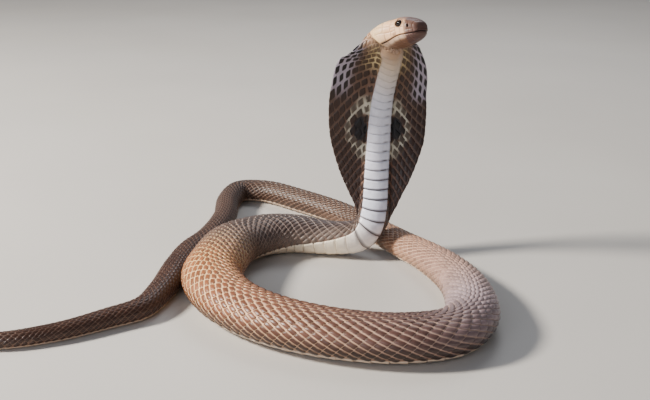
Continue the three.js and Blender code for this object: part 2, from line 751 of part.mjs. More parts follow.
// One shield: a low plate with its root in the head, shrunk a little so that a seam is left round it.
function shield(corners) {
  const rim = [];
  corners.forEach((corner, i) => {
    const next = corners[(i + 1) % corners.length];
    const a = onCheek(corner[0], corner[1], 0);
    const steps = Math.max(1, Math.round(a.distanceTo(onCheek(next[0], next[1], 0)) / SHIELD_STEP));
    for (let k = 0; k < steps; k += 1) {
      rim.push([0, 1].map((c) => corner[c] + ((next[c] - corner[c]) * k) / steps));
    }
  });
  const middle = [0, 1].map((c) => rim.reduce((sum, p) => sum + p[c], 0) / rim.length);
  const centre = onCheek(middle[0], middle[1], 0);
  const inset = rim.map((p) => {
    const far = onCheek(p[0], p[1], 0).distanceTo(centre);
    const keep = Math.max(0.5, 1 - SHIELD_SEAM / far);
    return p.map((v, c) => middle[c] + (v - middle[c]) * keep);
  });
  const points = [];
  const faces = [];
  const add = (q, rise) => points.push(...onCheek(q[0], q[1], rise).toArray()) / 3 - 1;
  const top = add(middle, SHIELD_RAISE * SHIELD_CROWNED);
  const root = add(middle, -SHIELD_ROOT);
  const upper = inset.map((q) => add(q, SHIELD_RAISE));
  const lower = inset.map((q) => add(q, -SHIELD_ROOT));
  inset.forEach((q, i) => {
    const j = (i + 1) % inset.length;
    faces.push(top, upper[i], upper[j]);
    faces.push(root, lower[j], lower[i]);
    faces.push(upper[i], lower[i], lower[j]);
    faces.push(upper[i], lower[j], upper[j]);
  });
  return solid({ points, faces });
}

const mirrored = (corners) => corners.map(([s, degrees]) => [s, -degrees]);
const upperShields = [FRONTAL_SHIELD];
for (const group of [CROWN_SHIELDS, CHEEK_SHIELDS]) {
  for (const corners of Object.values(group)) upperShields.push(corners, mirrored(corners));
}
for (let i = 0; i < UPPER_LIP_EDGES.length - 1; i += 1) {
  const [a, b] = [UPPER_LIP_EDGES[i], UPPER_LIP_EDGES[i + 1]];
  const seam = [[b, mouthAngle(b) - LIP_MARGIN], [a, mouthAngle(a) - LIP_MARGIN]];
  const corners = [[a, LIP_TOP], [b, LIP_TOP], ...seam];
  upperShields.push(corners, mirrored(corners));
}
const lowerShields = [];
for (const corners of Object.values(CHIN_SHIELDS)) lowerShields.push(corners, mirrored(corners));
for (let i = 0; i < LOWER_LIP_EDGES.length - 1; i += 1) {
  const [a, b] = [LOWER_LIP_EDGES[i], LOWER_LIP_EDGES[i + 1]];
  const seam = [[a, mouthAngle(a) + LIP_MARGIN], [b, mouthAngle(b) + LIP_MARGIN]];
  const corners = [...seam, [b, CHIN_EDGE], [a, CHIN_EDGE]];
  lowerShields.push(corners, mirrored(corners));
}
const withShields = (body, shields) => wasm.Manifold.union([body, ...shields.map(shield)]);

const SKIN = { color: 0xb08d6a, roughness: 0.55, metalness: 0 };
const BELLY = { color: 0xd8cdb8, roughness: 0.5, metalness: 0 };
const HEAD_SKIN = { color: 0xc7a07e, roughness: 0.5, metalness: 0 };
const HOOD_SKIN = { color: 0x6f5a4c, roughness: 0.6, metalness: 0 };
const TAIL_SKIN = { color: 0x5d4a3c, roughness: 0.6, metalness: 0 };
const EYE_LOOK = { color: 0x120c0a, roughness: 0.08, metalness: 0 };

const EYE_ROWS = 8;
const NOSTRIL_ROWS = 6;
let upper = withShields(headBody, upperShields).subtract(jawRegion(GAP / 2));
const lower = withShields(headBody, lowerShields).intersect(jawRegion(-GAP / 2));
for (const hand of [1, -1]) {
  const eye = inHead(EYE_PLACE, hand);
  upper = upper.subtract(ball(EYE_RADIUS + EYE_ROOM, eye, [1, 1, 1], EYE_ROWS));
  upper = upper.subtract(ball(1, inHead(NOSTRIL_PLACE, hand), NOSTRIL_SIZE, NOSTRIL_ROWS));
}
addNode("head", upper, HEAD_SKIN);
addNode("lower_jaw", lower, HEAD_SKIN);
addNode("eye_right", ball(EYE_RADIUS, inHead(EYE_PLACE, 1), [1, 1, 1], EYE_ROWS), EYE_LOOK);
addNode("eye_left", ball(EYE_RADIUS, inHead(EYE_PLACE, -1), [1, 1, 1], EYE_ROWS), EYE_LOOK);
const neckSplit = nearestEdge(118);
const neckEnd = nearestEdge(190);
addNode("neck_upper", scutedLength(FIRST_SCUTE, neckSplit, coreHalf, false), BELLY);
addNode("neck_lower", scutedLength(neckSplit, neckEnd, coreHalf, false), BELLY);
for (const [part, from, to] of WING_PARTS) {
  addNode("hood_right_" + part, wing(1, from, to), HOOD_SKIN);
  addNode("hood_left_" + part, wing(-1, from, to), HOOD_SKIN);
}
LENGTHS.forEach(([name, from, to], i) => {
  const start = i === 0 ? neckEnd : nearestEdge(from);
  const end = nearestEdge(Math.min(to, LENGTH));
  const look = name.startsWith("tail") || name.startsWith("rear_left") ? TAIL_SKIN : SKIN;
  const size = from < SLENDER_FROM ? "stout" : from < TAIL_FROM ? "slender" : "tail";
  addNode(name, scutedLength(start, end, halfOfSize(size), end > LYING_FROM - LYING_BLEND), look);
});

export default root;
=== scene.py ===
"""Spectacled cobra, life size: reared with its hood spread, the rest of it lying in a loop.

Shapes are worked out in millimetres, from the same route and sections as the solids, and built in metres.
"""

import math

import bpy
import numpy as np
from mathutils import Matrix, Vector


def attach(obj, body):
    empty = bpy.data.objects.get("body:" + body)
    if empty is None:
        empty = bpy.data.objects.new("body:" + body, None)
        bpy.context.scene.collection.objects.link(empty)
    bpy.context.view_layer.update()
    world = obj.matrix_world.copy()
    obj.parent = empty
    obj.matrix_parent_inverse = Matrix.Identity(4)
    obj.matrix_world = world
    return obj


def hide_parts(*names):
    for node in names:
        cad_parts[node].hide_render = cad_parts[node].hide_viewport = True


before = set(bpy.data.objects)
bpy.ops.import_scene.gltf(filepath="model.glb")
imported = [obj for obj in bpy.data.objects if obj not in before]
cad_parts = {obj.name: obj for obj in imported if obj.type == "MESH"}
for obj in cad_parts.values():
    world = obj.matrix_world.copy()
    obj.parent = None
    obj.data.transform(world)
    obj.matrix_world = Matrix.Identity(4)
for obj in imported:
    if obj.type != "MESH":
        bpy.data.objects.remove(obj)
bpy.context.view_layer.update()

MM = 0.001
rng = np.random.default_rng(11)

# Route and sections, as in the solids.
PLAN_SHIFT = (-111.0, -71.3)
SNOUT = (68.3, -93.0, 191.6)
HEAD_TURN = 52
HEAD_PITCH = 21
CROWN = (21, 25)
STRAIGHT_HEAD = 32
NAPE = [
    (48.4, -65.2, 172.6, 42, 32), (48.6, -58.6, 165.0, 62, 26), (47.8, -53.6, 157.5, 78, 20),
    (46.3, -49.6, 149.0, 86, 18), (44.6, -46.6, 140.0, 90, 18),
]
REARED = [
    (42.4, -44.0, 126.0, 90, 16), (41.2, -43.0, 110.0, 90, 12), (40.8, -42.5, 94.0, 90, 7),
    (40.5, -43.0, 77.0, 90, 2), (40.2, -45.0, 58.6, 90, -2), (39.3, -48.0, 42.0, 89, -4),
    (36.0, -50.0, 28.0, 84, -6),
]
ARM = [
    (27.5, -51.0, 19.0, 70, -8), (12.0, -47.5, 15.5, 50, -8), (-8.0, -41.5, 14.8, 30, -8),
    (-29.0, -38.5, 15.2, 15, -8), (-50.0, -44.0, 16.2, 6, -8), (-69.5, -63.0, 17.5, 2, 0),
]
LYING = [
    (-78.8, -98), (-81.4, -134), (-67.5, -169), (-43.0, -196), (-14.0, -214), (18.0, -225),
    (50.0, -228), (80.5, -219.5), (96.2, -197), (100.5, -166), (97.0, -128), (82.5, -85.5),
    (59.0, -43), (39.0, -8), (14.0, 27), (-21.0, 62), (-56.0, 91), (-79.0, 92), (-87.5, 64),
    (-87.0, 20), (-95.5, -38), (-105.4, -66), (-110.9, -94), (-118.0, -140), (-127.0, -167),
    (-147.0, -182), (-178.0, -202), (-214.0, -213), (-249.0, -205), (-276.0, -180),
    (-293.0, -146), (-306.0, -110), (-320.0, -77), (-339.5, -50),
]
HALF_WIDTH = [
    (0, 12), (44, 12.2), (60, 11.8), (100, 11.6), (160, 12), (195, 12.6), (230, 14.5), (260, 18),
    (290, 20.5), (335, 21.8), (385, 21.8), (445, 20.5), (525, 19.6), (600, 19), (665, 17.5),
    (725, 15.2), (785, 12.8), (845, 11.4), (945, 11), (1070, 10.1), (1150, 10.9), (1190, 10.6),
    (1225, 9.6), (1260, 8.4), (1300, 7.3), (1350, 6.3), (1400, 5.3), (1460, 4.1), (1510, 2.9),
    (1560, 1.2),
]
BELLY_DEPTH = 0.95
BACK_HEIGHT = 0.9
REST_SQUASH = 0.16
SQUASHED = (215, 305, 745, 945)
HOOD_BELLY = 0.14
HOOD_BACK = 0.3
SINK = 0.1
LYING_FROM = 262
LYING_BLEND = 40
HOOD_REACH = [
    (32, 14), (36, 17.4), (40, 21), (44, 24.8), (48, 28.4), (53, 32.4), (58, 36), (66, 40.3),
    (78, 42.8), (92, 42.6), (106, 41), (120, 38.4), (134, 34.5), (148, 29.8), (160, 24.8),
    (170, 20.2), (178, 16.6), (186, 13.8), (194, 12.6),
]
HOOD_SLANT = [
    (30, 0), (34, 0.08), (38, 0.21), (42, 0.33), (46, 0.39), (50, 0.35), (54, 0.29), (60, 0.26),
    (70, 0.24), (82, 0.19), (104, 0.09), (125, 0),
]
HOOD_SET_BACK = [(32, 0), (38, 6), (46, 9), (58, 6), (76, 2), (94, 0)]
HOOD_INNER = [(36, 1), (44, 0.78), (50, 0.76), (64, 0.79), (80, 0.83), (100, 0.91), (128, 1)]
HOOD_END = 194
SET_BACK_POWER = 1.3
WING_THICKNESS = 2.2
WING_TAPER = 0.45
WING_RIM_POWER = 8
WING_FILLET_POWER = 2.4
WING_FULL_AT = 12
HOOD_CUP = 3.5
HEAD_WIDTH = [
    (0, 0.6), (0.6, 4.2), (2, 6.3), (5, 8.2), (9, 9.6), (14, 11.2), (20, 12.8), (27, 15),
    (34, 16.6), (40, 16.4), (46, 14.6), (52, 12.6),
]
HEAD_CROWN = [
    (0, 0.6), (0.6, 2.9), (2, 4.4), (5, 6.2), (10, 8.4), (16, 9.9), (24, 9.8), (34, 9.4),
    (44, 8.6), (52, 7.6),
]
HEAD_THROAT = [
    (0, 0.6), (0.6, 4.2), (2, 6.2), (5, 7.8), (10, 9), (16, 9.8), (24, 10.4), (34, 10.4),
    (44, 9.9), (52, 9.6),
]
HEAD_DROOP = [(0, 1.2), (10, 0.6), (20, 0), (52, 0)]
CROWN_POWER = 2.7
THROAT_POWER = 2.3
HEAD_BLEND = (34, 50)
HEAD_CORE = 12
MOUTH_LINE = [
    (0, 3.6), (2, 4.3), (5, 4.2), (9, 3.8), (13, 3.5), (17, 3.8), (21, 4.6), (26, 5.8), (31, 6.4),
]
MOUTH_CORNER = 31
EYE_RADIUS = 3.1
EYE_PLACE = (13.2, 8.1, 4.2)
NOSTRIL_PLACE = (5.8, 8.2, 2)
SCUTE_SHARE = 0.13
SCUTE_EDGE = 0.8
FIRST_SCUTE = 40
SCUTE_PITCH = [
    (40, 6), (100, 6.8), (150, 8), (200, 8.4), (300, 9.6), (420, 10.2), (560, 10.2), (760, 9.4),
    (950, 8.4), (1150, 7.4), (1280, 6.2), (1560, 4.6),
]


def smooth(a, b, x):
    t = np.clip((np.asarray(x, float) - a) / (b - a), 0, 1)
    return t * t * (3 - 2 * t)


def between(a, b, c, d, x):
    """1 from b to c, falling to 0 at a and d."""
    return smooth(a, b, x) * (1 - smooth(c, d, x))


def mix(a, b, t):
    return a * (1 - t) + b * t


def along(keys, x):
    """Value at x on a smooth monotone curve through (place, value) keys."""
    xs, ys = np.array(keys, float).T
    h = np.diff(xs)
    slope = np.diff(ys) / h
    tangent = np.zeros(len(xs))
    tangent[0], tangent[-1] = slope[0], slope[-1]
    before, after = slope[:-1], slope[1:]
    same = before * after > 0
    w0, w1 = 2 * h[1:] + h[:-1], h[1:] + 2 * h[:-1]
    safe_before, safe_after = np.where(same, before, 1), np.where(same, after, 1)
    tangent[1:-1] = np.where(same, (w0 + w1) / (w0 / safe_before + w1 / safe_after), 0)
    at = np.clip(np.asarray(x, float), xs[0], xs[-1])
    i = np.clip(np.searchsorted(xs, at, side="right") - 1, 0, len(h) - 1)
    t = (at - xs[i]) / h[i]
    return (
        (1 + 2 * t) * (1 - t) ** 2 * ys[i]
        + t * (1 - t) ** 2 * h[i] * tangent[i]
        + t * t * (3 - 2 * t) * ys[i + 1]
        + t * t * (t - 1) * h[i] * tangent[i + 1]
    )


def fine_line(rows, steps):
    """A curve through every row, as many rows; the first three numbers of a row are its place."""
    p = np.array(rows, float)
    p = np.vstack([2 * p[0] - p[1], p, 2 * p[-1] - p[-2]])
    out = []
    for i in range(1, len(p) - 2):
        p0, p1, p2, p3 = p[i - 1:i + 3]
        gap = [math.sqrt(np.linalg.norm(b[:3] - a[:3])) for a, b in ((p0, p1), (p1, p2), (p2, p3))]
        t1 = gap[0]
        t2 = t1 + gap[1]
        t3 = t2 + gap[2]
        t = (t1 + (t2 - t1) * np.arange(steps) / steps)[:, None]
        a1 = mix(p0, p1, t / t1)
        a2 = mix(p1, p2, (t - t1) / (t2 - t1))
        a3 = mix(p2, p3, (t - t2) / (t3 - t2))
        b1 = mix(a1, a2, t / t2)
        b2 = mix(a2, a3, (t - t1) / (t3 - t1))
        out.append(mix(b1, b2, (t - t1) / (t2 - t1)))
    out.append(p[-2][None])
    return np.vstack(out)


turn, pitch = math.radians(HEAD_TURN), math.radians(HEAD_PITCH)
head_axis = np.array([
    math.cos(pitch) * math.cos(turn), -math.cos(pitch) * math.sin(turn), math.sin(pitch)
])
on_head = [
    tuple(np.array(SNOUT) - STRAIGHT_HEAD * k / 3 * head_axis) + CROWN for k in range(4)
]
line = fine_line(on_head + NAPE + REARED + ARM + [(x, y, 0, 0, 0) for x, y in LYING], 24)
mile = np.r_[0, np.cumsum(np.linalg.norm(np.diff(line[:, :3], axis=0), axis=1))]
LENGTH = mile[-1]


def half_width(s):
    return along(HALF_WIDTH, s)


def squash(s):
    return 1 - REST_SQUASH * between(*SQUASHED, s)


# The trunk lies on its belly: the spine is as high as its own section reaches down.
lean_of_line = np.radians(line[:, 3])
lying_height = np.hypot(
    half_width(mile) * BELLY_DEPTH * squash(mile) * np.cos(lean_of_line),
    half_width(mile) * np.sin(lean_of_line),
)
line[:, 2] = mix(line[:, 2], lying_height - SINK, smooth(LYING_FROM - LYING_BLEND, LYING_FROM, mile))
line[:, 0] -= PLAN_SHIFT[0]
line[:, 1] -= PLAN_SHIFT[1]


def frame_at(s):
    """Place, forward (to the head), back (out of the back) and left at s mm behind the snout."""
    s = np.clip(np.asarray(s, float), 0, LENGTH)

    def row(at, columns):
        return np.stack([np.interp(at, mile, line[:, k]) for k in columns], -1)

    place = row(s, range(3))
    forward = row(s - 1.5, range(3)) - row(s + 1.5, range(3))
    forward /= np.linalg.norm(forward, axis=-1, keepdims=True)
    lean, yaw = np.moveaxis(np.radians(row(s, (3, 4))), -1, 0)
    back = np.stack([-np.sin(yaw) * np.sin(lean), np.cos(yaw) * np.sin(lean), np.cos(lean)], -1)
    back -= (back * forward).sum(-1, keepdims=True) * forward
    back /= np.linalg.norm(back, axis=-1, keepdims=True)
    return place, forward, back, np.cross(back, forward)


def section(s, angle):
    """Sideways and towards the belly, from the belly line (0) to the back line (pi)."""
    c, d = np.cos(angle), np.sin(angle)
    width, crown, throat, droop = (
        along(k, s) for k in (HEAD_WIDTH, HEAD_CROWN, HEAD_THROAT, HEAD_DROOP)
    )
    n = np.where(c > 0, THROAT_POWER, CROWN_POWER)
    tall = np.where(c > 0, throat, crown)
    r = (np.abs(d / width) ** n + np.abs(c / tall) ** n) ** (-1 / n)
    core = half_width(s)
    reared = 1 - smooth(165, 205, s)
    belly = core * BELLY_DEPTH * squash(s) * (1 - HOOD_BELLY * reared)
    back = core * BACK_HEIGHT * squash(s) * (1 - HOOD_BACK * reared)
    reach = np.maximum(np.where(s < HOOD_END, along(HOOD_REACH, s), 0), core)
    spread = np.minimum(1, (reach - core) / WING_FULL_AT)
    x = reach * d
    rounded = np.sqrt(np.maximum(0, 1 - (x / core) ** 2))
    thin = np.sqrt(np.maximum(0, 1 - (x / reach) ** WING_RIM_POWER))
    wing = spread * WING_THICKNESS * (1 - WING_TAPER * np.abs(d)) * thin
    deep = np.where(c >= 0, belly, back)
    power = WING_FILLET_POWER
    thick = ((deep * rounded) ** power + wing ** power) ** (1 / power)
    v = np.where(c >= 0, thick, -thick) + spread * HOOD_CUP * d * d
    k = smooth(*HEAD_BLEND, s)
    return mix(r * d, x, k), mix(r * c + droop, v, k), mix(width, reach, k)


def bare(s, angle, side):
    """A point of the skin; side is +1 for the animal's right, -1 for its left."""
    x, v, reach = section(s, angle)
    place, forward, back, left = frame_at(s)
    right = side > 0
    out = np.clip(x / np.maximum(reach, 1), 0, 1)
    across = side * x * np.where(right, 1, along(HOOD_INNER, s))
    slant = np.where(right, x * along(HOOD_SLANT, s), 0)
    set_back = np.where(right, along(HOOD_SET_BACK, s), 0) * out ** SET_BACK_POWER
    return (
        place - left * across[..., None] + back * (set_back - v)[..., None]
        + forward * slant[..., None]
    )


def skin_point(s, angle, side, lift=0.0):
    """A point lifted off the skin along its outward direction."""
    s, angle, side, lift = np.broadcast_arrays(s, angle, side, lift)
    ds = bare(np.minimum(s + 0.5, LENGTH), angle, side) - bare(np.maximum(s - 0.5, 0), angle, side)
    da = bare(s, angle + 0.03, side) - bare(s, angle - 0.03, side)
    normal = np.cross(da, ds) * side[..., None]
    normal /= np.maximum(np.linalg.norm(normal, axis=-1, keepdims=True), 1e-9)
    return bare(s, angle, side) + normal * lift[..., None]


# Share of the half girth (0 at the belly line, 0.5 at the back line) against the angle of the section.
table_s = np.r_[np.arange(0, 60, 0.5), np.arange(60, LENGTH, 1.0), LENGTH]
table_angle = np.linspace(0, math.pi, 241)
table_share = np.linspace(0, 0.5, 257)
table_x, table_v, _ = section(table_s[:, None], table_angle[None, :])
table_step = [np.diff(v, prepend=v[:, :1]) for v in (table_x, table_v)]
table_run = np.cumsum(np.hypot(*table_step), axis=1)
angle_table = np.zeros((len(table_s), len(table_share)))
per_share = np.zeros(len(table_s))
per_belly = np.zeros(len(table_s))
apex_share = np.zeros(len(table_s))
for i, s in enumerate(table_s):
    core = mix(min(along(HEAD_WIDTH, s), HEAD_CORE), half_width(s), smooth(*HEAD_BLEND, s))
    limit = min(SCUTE_EDGE * core, table_x[i].max() * 0.98)
    first = int(np.argmax(table_x[i] >= limit))
    edge = np.interp(limit, table_x[i, :first + 1], table_run[i, :first + 1])
    total = table_run[i, -1]
    upper = SCUTE_SHARE + (table_run[i] - edge) / (total - edge) * (0.5 - SCUTE_SHARE)
    share = np.where(table_run[i] <= edge, table_run[i] / edge * SCUTE_SHARE, upper)
    angle_table[i] = np.interp(table_share, share, table_angle)
    per_share[i] = (total - edge) / (0.5 - SCUTE_SHARE)
    per_belly[i] = edge / SCUTE_SHARE
    apex_share[i] = share[len(table_angle) // 2]


def angle_at(s, share):
    row = np.interp(s, table_s, np.arange(len(table_s)))
    column = np.clip(share, 0, 0.5) * 2 * (len(table_share) - 1)
    r0 = np.minimum(row.astype(int), len(table_s) - 2)
    c0 = np.minimum(column.astype(int), len(table_share) - 2)
    fr, fc = row - r0, column - c0
    top = mix(angle_table[r0, c0], angle_table[r0, c0 + 1], fc)
    low = mix(angle_table[r0 + 1, c0], angle_table[r0 + 1, c0 + 1], fc)
    return mix(top, low, fr)


def at_share(s, q, lift=0.0):
    """A point by its signed share of the girth: plus is the animal's right, 0.5 the back line."""
    q = np.mod(np.asarray(q) + 0.5, 1.0) - 0.5
    side = np.where(q < 0, -1.0, 1.0)
    return skin_point(s, angle_at(s, np.abs(q)), side, lift)


def spaced(pitch):
    """Edges of the plates from the first scute to the tip of the tail."""
    edges = [FIRST_SCUTE]
    while edges[-1] < LENGTH - 4:
        edges.append(edges[-1] + float(along(pitch, edges[-1])))
    edges[-1] = LENGTH - 0.5
    return np.array(edges)


scute_edges = spaced(SCUTE_PITCH)
SCALE_PITCH = [
    (40, 6), (60, 7), (100, 7.8), (150, 7.8), (200, 6.8), (260, 7), (420, 7.6), (560, 7.6),
    (700, 7.2), (950, 6.4), (1150, 5.6), (1280, 4.9), (1560, 3.6),
]
scale_edges = spaced(SCALE_PITCH)
NAPE_PITCH = 3.9


def edge_at(i):
    """Distance behind the snout of a place counted in scales, on from the first or back over the nape."""
    i = np.asarray(i, float)
    inside = np.interp(i, np.arange(len(scale_edges)), scale_edges)
    return np.where(i < 0, FIRST_SCUTE + NAPE_PITCH * i, inside)


# Rows of scales of one side, from the belly up; the last is half of the row on the back line.
SIDE_ROWS = 15
ROW_WEIGHTS = np.array([1.35, 1.15] + [1.0] * (SIDE_ROWS - 2) + [0.45])
DROPPED = [
    (150, (5, 6)), (182, (8, 9)), (850, (3, 4)), (1190, (10, 11)), (1330, (1, 2)), (1430, (12, 13)),
]
DROP_LENGTH = 14
HOOD_FRONT_ROWS = 7
row_weight = np.tile(ROW_WEIGHTS, (len(table_s), 1))
for place_, rows in DROPPED:
    for k in rows:
        row_weight[:, k] *= 1 - smooth(place_ - DROP_LENGTH, place_ + DROP_LENGTH, table_s)
# How far each row stands behind the first, in scales: a row that narrows away takes its step with it.
ROW_SHIFT = 0.34
ROW_STEP = np.array([ROW_SHIFT] * (SIDE_ROWS - 3) + [0.4, 0.45, 0.5])
row_left = row_weight / ROW_WEIGHTS
row_phase = np.cumsum(ROW_STEP * (row_left[:, :-1] + row_left[:, 1:]) / 2, axis=1)
row_phase = np.hstack([np.zeros((len(table_s), 1)), row_phase])
row_top = np.cumsum(row_weight, axis=1)
plain_top = SCUTE_SHARE + (0.5 - SCUTE_SHARE) * row_top / row_top[:, -1:]
front_part = row_top[:, HOOD_FRONT_ROWS - 1:HOOD_FRONT_ROWS]
on_front = SCUTE_SHARE + (apex_share[:, None] - SCUTE_SHARE) * row_top / front_part
past_front = (row_top - front_part) / (row_top[:, -1:] - front_part)
on_back = apex_share[:, None] + (0.5 - apex_share[:, None]) * past_front
hood_top = np.where(np.arange(SIDE_ROWS + 1) < HOOD_FRONT_ROWS, on_front, on_back)
table_reach = np.where(table_s < HOOD_END, along(HOOD_REACH, table_s), 0)
hood_spread = np.clip((table_reach - half_width(table_s)) / WING_FULL_AT, 0, 1)
row_top = mix(plain_top, hood_top, hood_spread[:, None])
row_low = np.hstack([np.full((len(table_s), 1), SCUTE_SHARE), row_top[:, :-1]])
row_top[:, -1] = 1 - row_low[:, -1]


def on_table(values, s):
    return np.interp(s, table_s, values)


# Over a wing the rows fan out: how far a scale at the margin stands behind its row's belly end.
HOOD_FAN = [(34, 0), (60, 3.5), (80, 8), (100, 11), (120, 10.5), (150, 6), (192, 0)]


def fanned(s, u):
    """Place along the body of a scale whose row starts at s on the belly side."""
    apex = on_table(apex_share, s)
    out = (u - SCUTE_SHARE) / (apex - SCUTE_SHARE)
    share = np.where(u < apex, smooth(0, 1, out), 1 - smooth(apex, 0.5, u))
    return s + np.where(s < HOOD_END, along(HOOD_FAN, s), 0) * share


# Pattern of the skin, each mark as a function of the place: s mm behind the snout, share round.
SPOT_S = 115.5
SPOT_SHARE = 0.166
SPOT_LONG = 10
SPOT_ROUND = 0.03
RING_FROM, RING_TO = 1.35, 1.85
STREAK_LONG = 27
LOBE_S, LOBE_ASIDE, LOBE_FLAT, LOBE_RADIUS = 98, 15.5, 0.95, 8.5
ARCH_S, ARCH_FLAT, ARCH_RADIUS, ARCH_FROM = 108, 0.9, 13, 104
NOWHERE = 99
# Edges of the marks: where each begins and is full, and for some where it ends.
SPOT_EDGE = (0.85, 1.15)
STREAK_FROM = (10, 13)
MARGIN_ROUND, MARGIN_ALONG = (0.205, 0.25, 0.36, 0.44), (38, 46, 84, 98)
THROAT_ROUND, THROAT_ALONG = (0.12, 0.14, 0.16, 0.22), (36, 46, 56, 74)
HOOD_ALONG = (44, 62, 150, 192)
MARK_ROUND, FRONT_ROUND = (0.34, 0.38), (0.33, 0.36)
LOOP_EDGE, LINED_EDGE, LOBE_EDGE = (1.6, 2.8), (3.2, 4.6), (3.4, 4.8)


def from_spot(s, u):
    """How far a place is from the middle of the black spot, in its own radii."""
    return np.hypot((s - SPOT_S) / SPOT_LONG, (u - SPOT_SHARE) / SPOT_ROUND)


def front_spot(s, u):
    """Black spot on each wing's front."""
    return 1 - smooth(*SPOT_EDGE, from_spot(s, u))


def front_ring(s, u):
    """Thin pale ring round the black spot, and the pale streaks above and below it."""
    r = from_spot(s, u)
    ring = between(RING_FROM - 0.15, RING_FROM, RING_TO - 0.15, RING_TO + 0.1, r)
    far = np.abs(s - SPOT_S)
    streaks = between(*STREAK_FROM, STREAK_LONG - 8, STREAK_LONG, far)
    streaks = streaks * (1 - smooth(SPOT_SHARE, SPOT_SHARE + 0.03, u))
    return np.maximum(ring * smooth(SPOT_SHARE - 0.02, SPOT_SHARE + 0.02, u), streaks)


def margin_zone(s, u):
    """Upper outer part of the hood's front, with black scales on pale skin."""
    return between(*MARGIN_ROUND, u) * between(*MARGIN_ALONG, s)


def throat_streak(s, u):
    """Yellowish streaks beside the throat."""
    return between(*THROAT_ROUND, u) * between(*THROAT_ALONG, s)


def hood_mark(s, u):
    """Distances in mm from the line of the pale loop on the hood's back and from its lobe's middle."""
    across = (0.5 - u) * on_table(per_share, s)
    lobe = np.hypot(s - LOBE_S, (across - LOBE_ASIDE) / LOBE_FLAT)
    arch = np.abs(np.hypot((s - ARCH_S) / ARCH_FLAT, across) - ARCH_RADIUS)
    return np.minimum(np.abs(lobe - LOBE_RADIUS), np.where(s > ARCH_FROM, arch, NOWHERE)), lobe


def in_hood(s):
    return between(*HOOD_ALONG, s)


def pattern(s, u):
    """The marks at given places, as named layers from 0 to 1."""
    back = smooth(*MARK_ROUND, u) * in_hood(s)
    far, lobe = hood_mark(s, u)
    loop = (1 - smooth(*LOOP_EDGE, far)) * back
    lined = (1 - smooth(*LINED_EDGE, far)) * back * (1 - loop)
    eye_spot = (1 - smooth(*LOBE_EDGE, lobe)) * back
    front = 1 - smooth(*FRONT_ROUND, u)
    return {
        "run": s / LENGTH,
        "round": u * 2,
        "ink": np.clip(front_spot(s, u) * front + lined + eye_spot, 0, 1),
        "ring": np.clip(front_ring(s, u) * front + loop, 0, 1),
        "margin": margin_zone(s, u),
        "streak": throat_streak(s, u),
        "hood": in_hood(s),
    }


FLOOR_GAP = 0.1


def new_piece(name, points, faces, corner_uv, layers, material):
    """A mesh object from arrays: points in mm, quads, one map place a corner, named layers."""
    points = points.copy()
    points[:, 2] = np.maximum(points[:, 2], FLOOR_GAP)
    mesh = bpy.data.meshes.new(name)
    mesh.vertices.add(len(points))
    mesh.vertices.foreach_set("co", (points * MM).astype(np.float32).ravel())
    mesh.loops.add(faces.size)
    mesh.loops.foreach_set("vertex_index", faces.astype(np.int32).ravel())
    mesh.polygons.add(len(faces))
    mesh.polygons.foreach_set("loop_start", np.arange(0, faces.size, 4, dtype=np.int32))
    mesh.polygons.foreach_set("loop_total", np.full(len(faces), 4, np.int32))
    mesh.uv_layers.new(name="OFBake").data.foreach_set("uv", corner_uv.astype(np.float32).ravel())
    mesh.polygons.foreach_set("use_smooth", np.full(len(faces), True))
    for key, data in layers.items():
        layer = mesh.attributes.new(key, "FLOAT", "POINT")
        layer.data.foreach_set("value", np.ascontiguousarray(data, np.float32).ravel())
    mesh.update(calc_edges=True)
    mesh.validate()
    mesh.materials.append(material)
    piece = bpy.data.objects.new(name, mesh)
    bpy.context.scene.collection.objects.link(piece)
    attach(piece, "root")
    return piece


def crossed(a, b):
    """Every pair of the two rows of values."""
    return [grid.ravel() for grid in np.meshgrid(a, b, indexing="ij")]


def grid_faces(rows, columns, wrap=False):
    """Quads of a rows by columns grid of points, columns closed round if asked."""
    r, c = crossed(np.arange(rows - 1), np.arange(columns if wrap else columns - 1))
    low, high, beside = r * columns, (r + 1) * columns, (c + 1) % columns
    return np.stack([low + c, low + beside, high + beside, high + c], -1)


def grid_map(rows, columns, place_of):
    """Map places of the corners of a closed grid's quads, from each corner's row and column."""
    r, c = np.divmod(np.arange((rows - 1) * columns), columns)
    corners = ((0, 0), (0, 1), (1, 1), (1, 0))
    return np.stack([np.stack(place_of(r + dr, c + dc), -1) for dr, dc in corners], 1)


# Materials.
NOISE_SOCKETS = ("Vector", "Scale", "Detail", "Roughness")


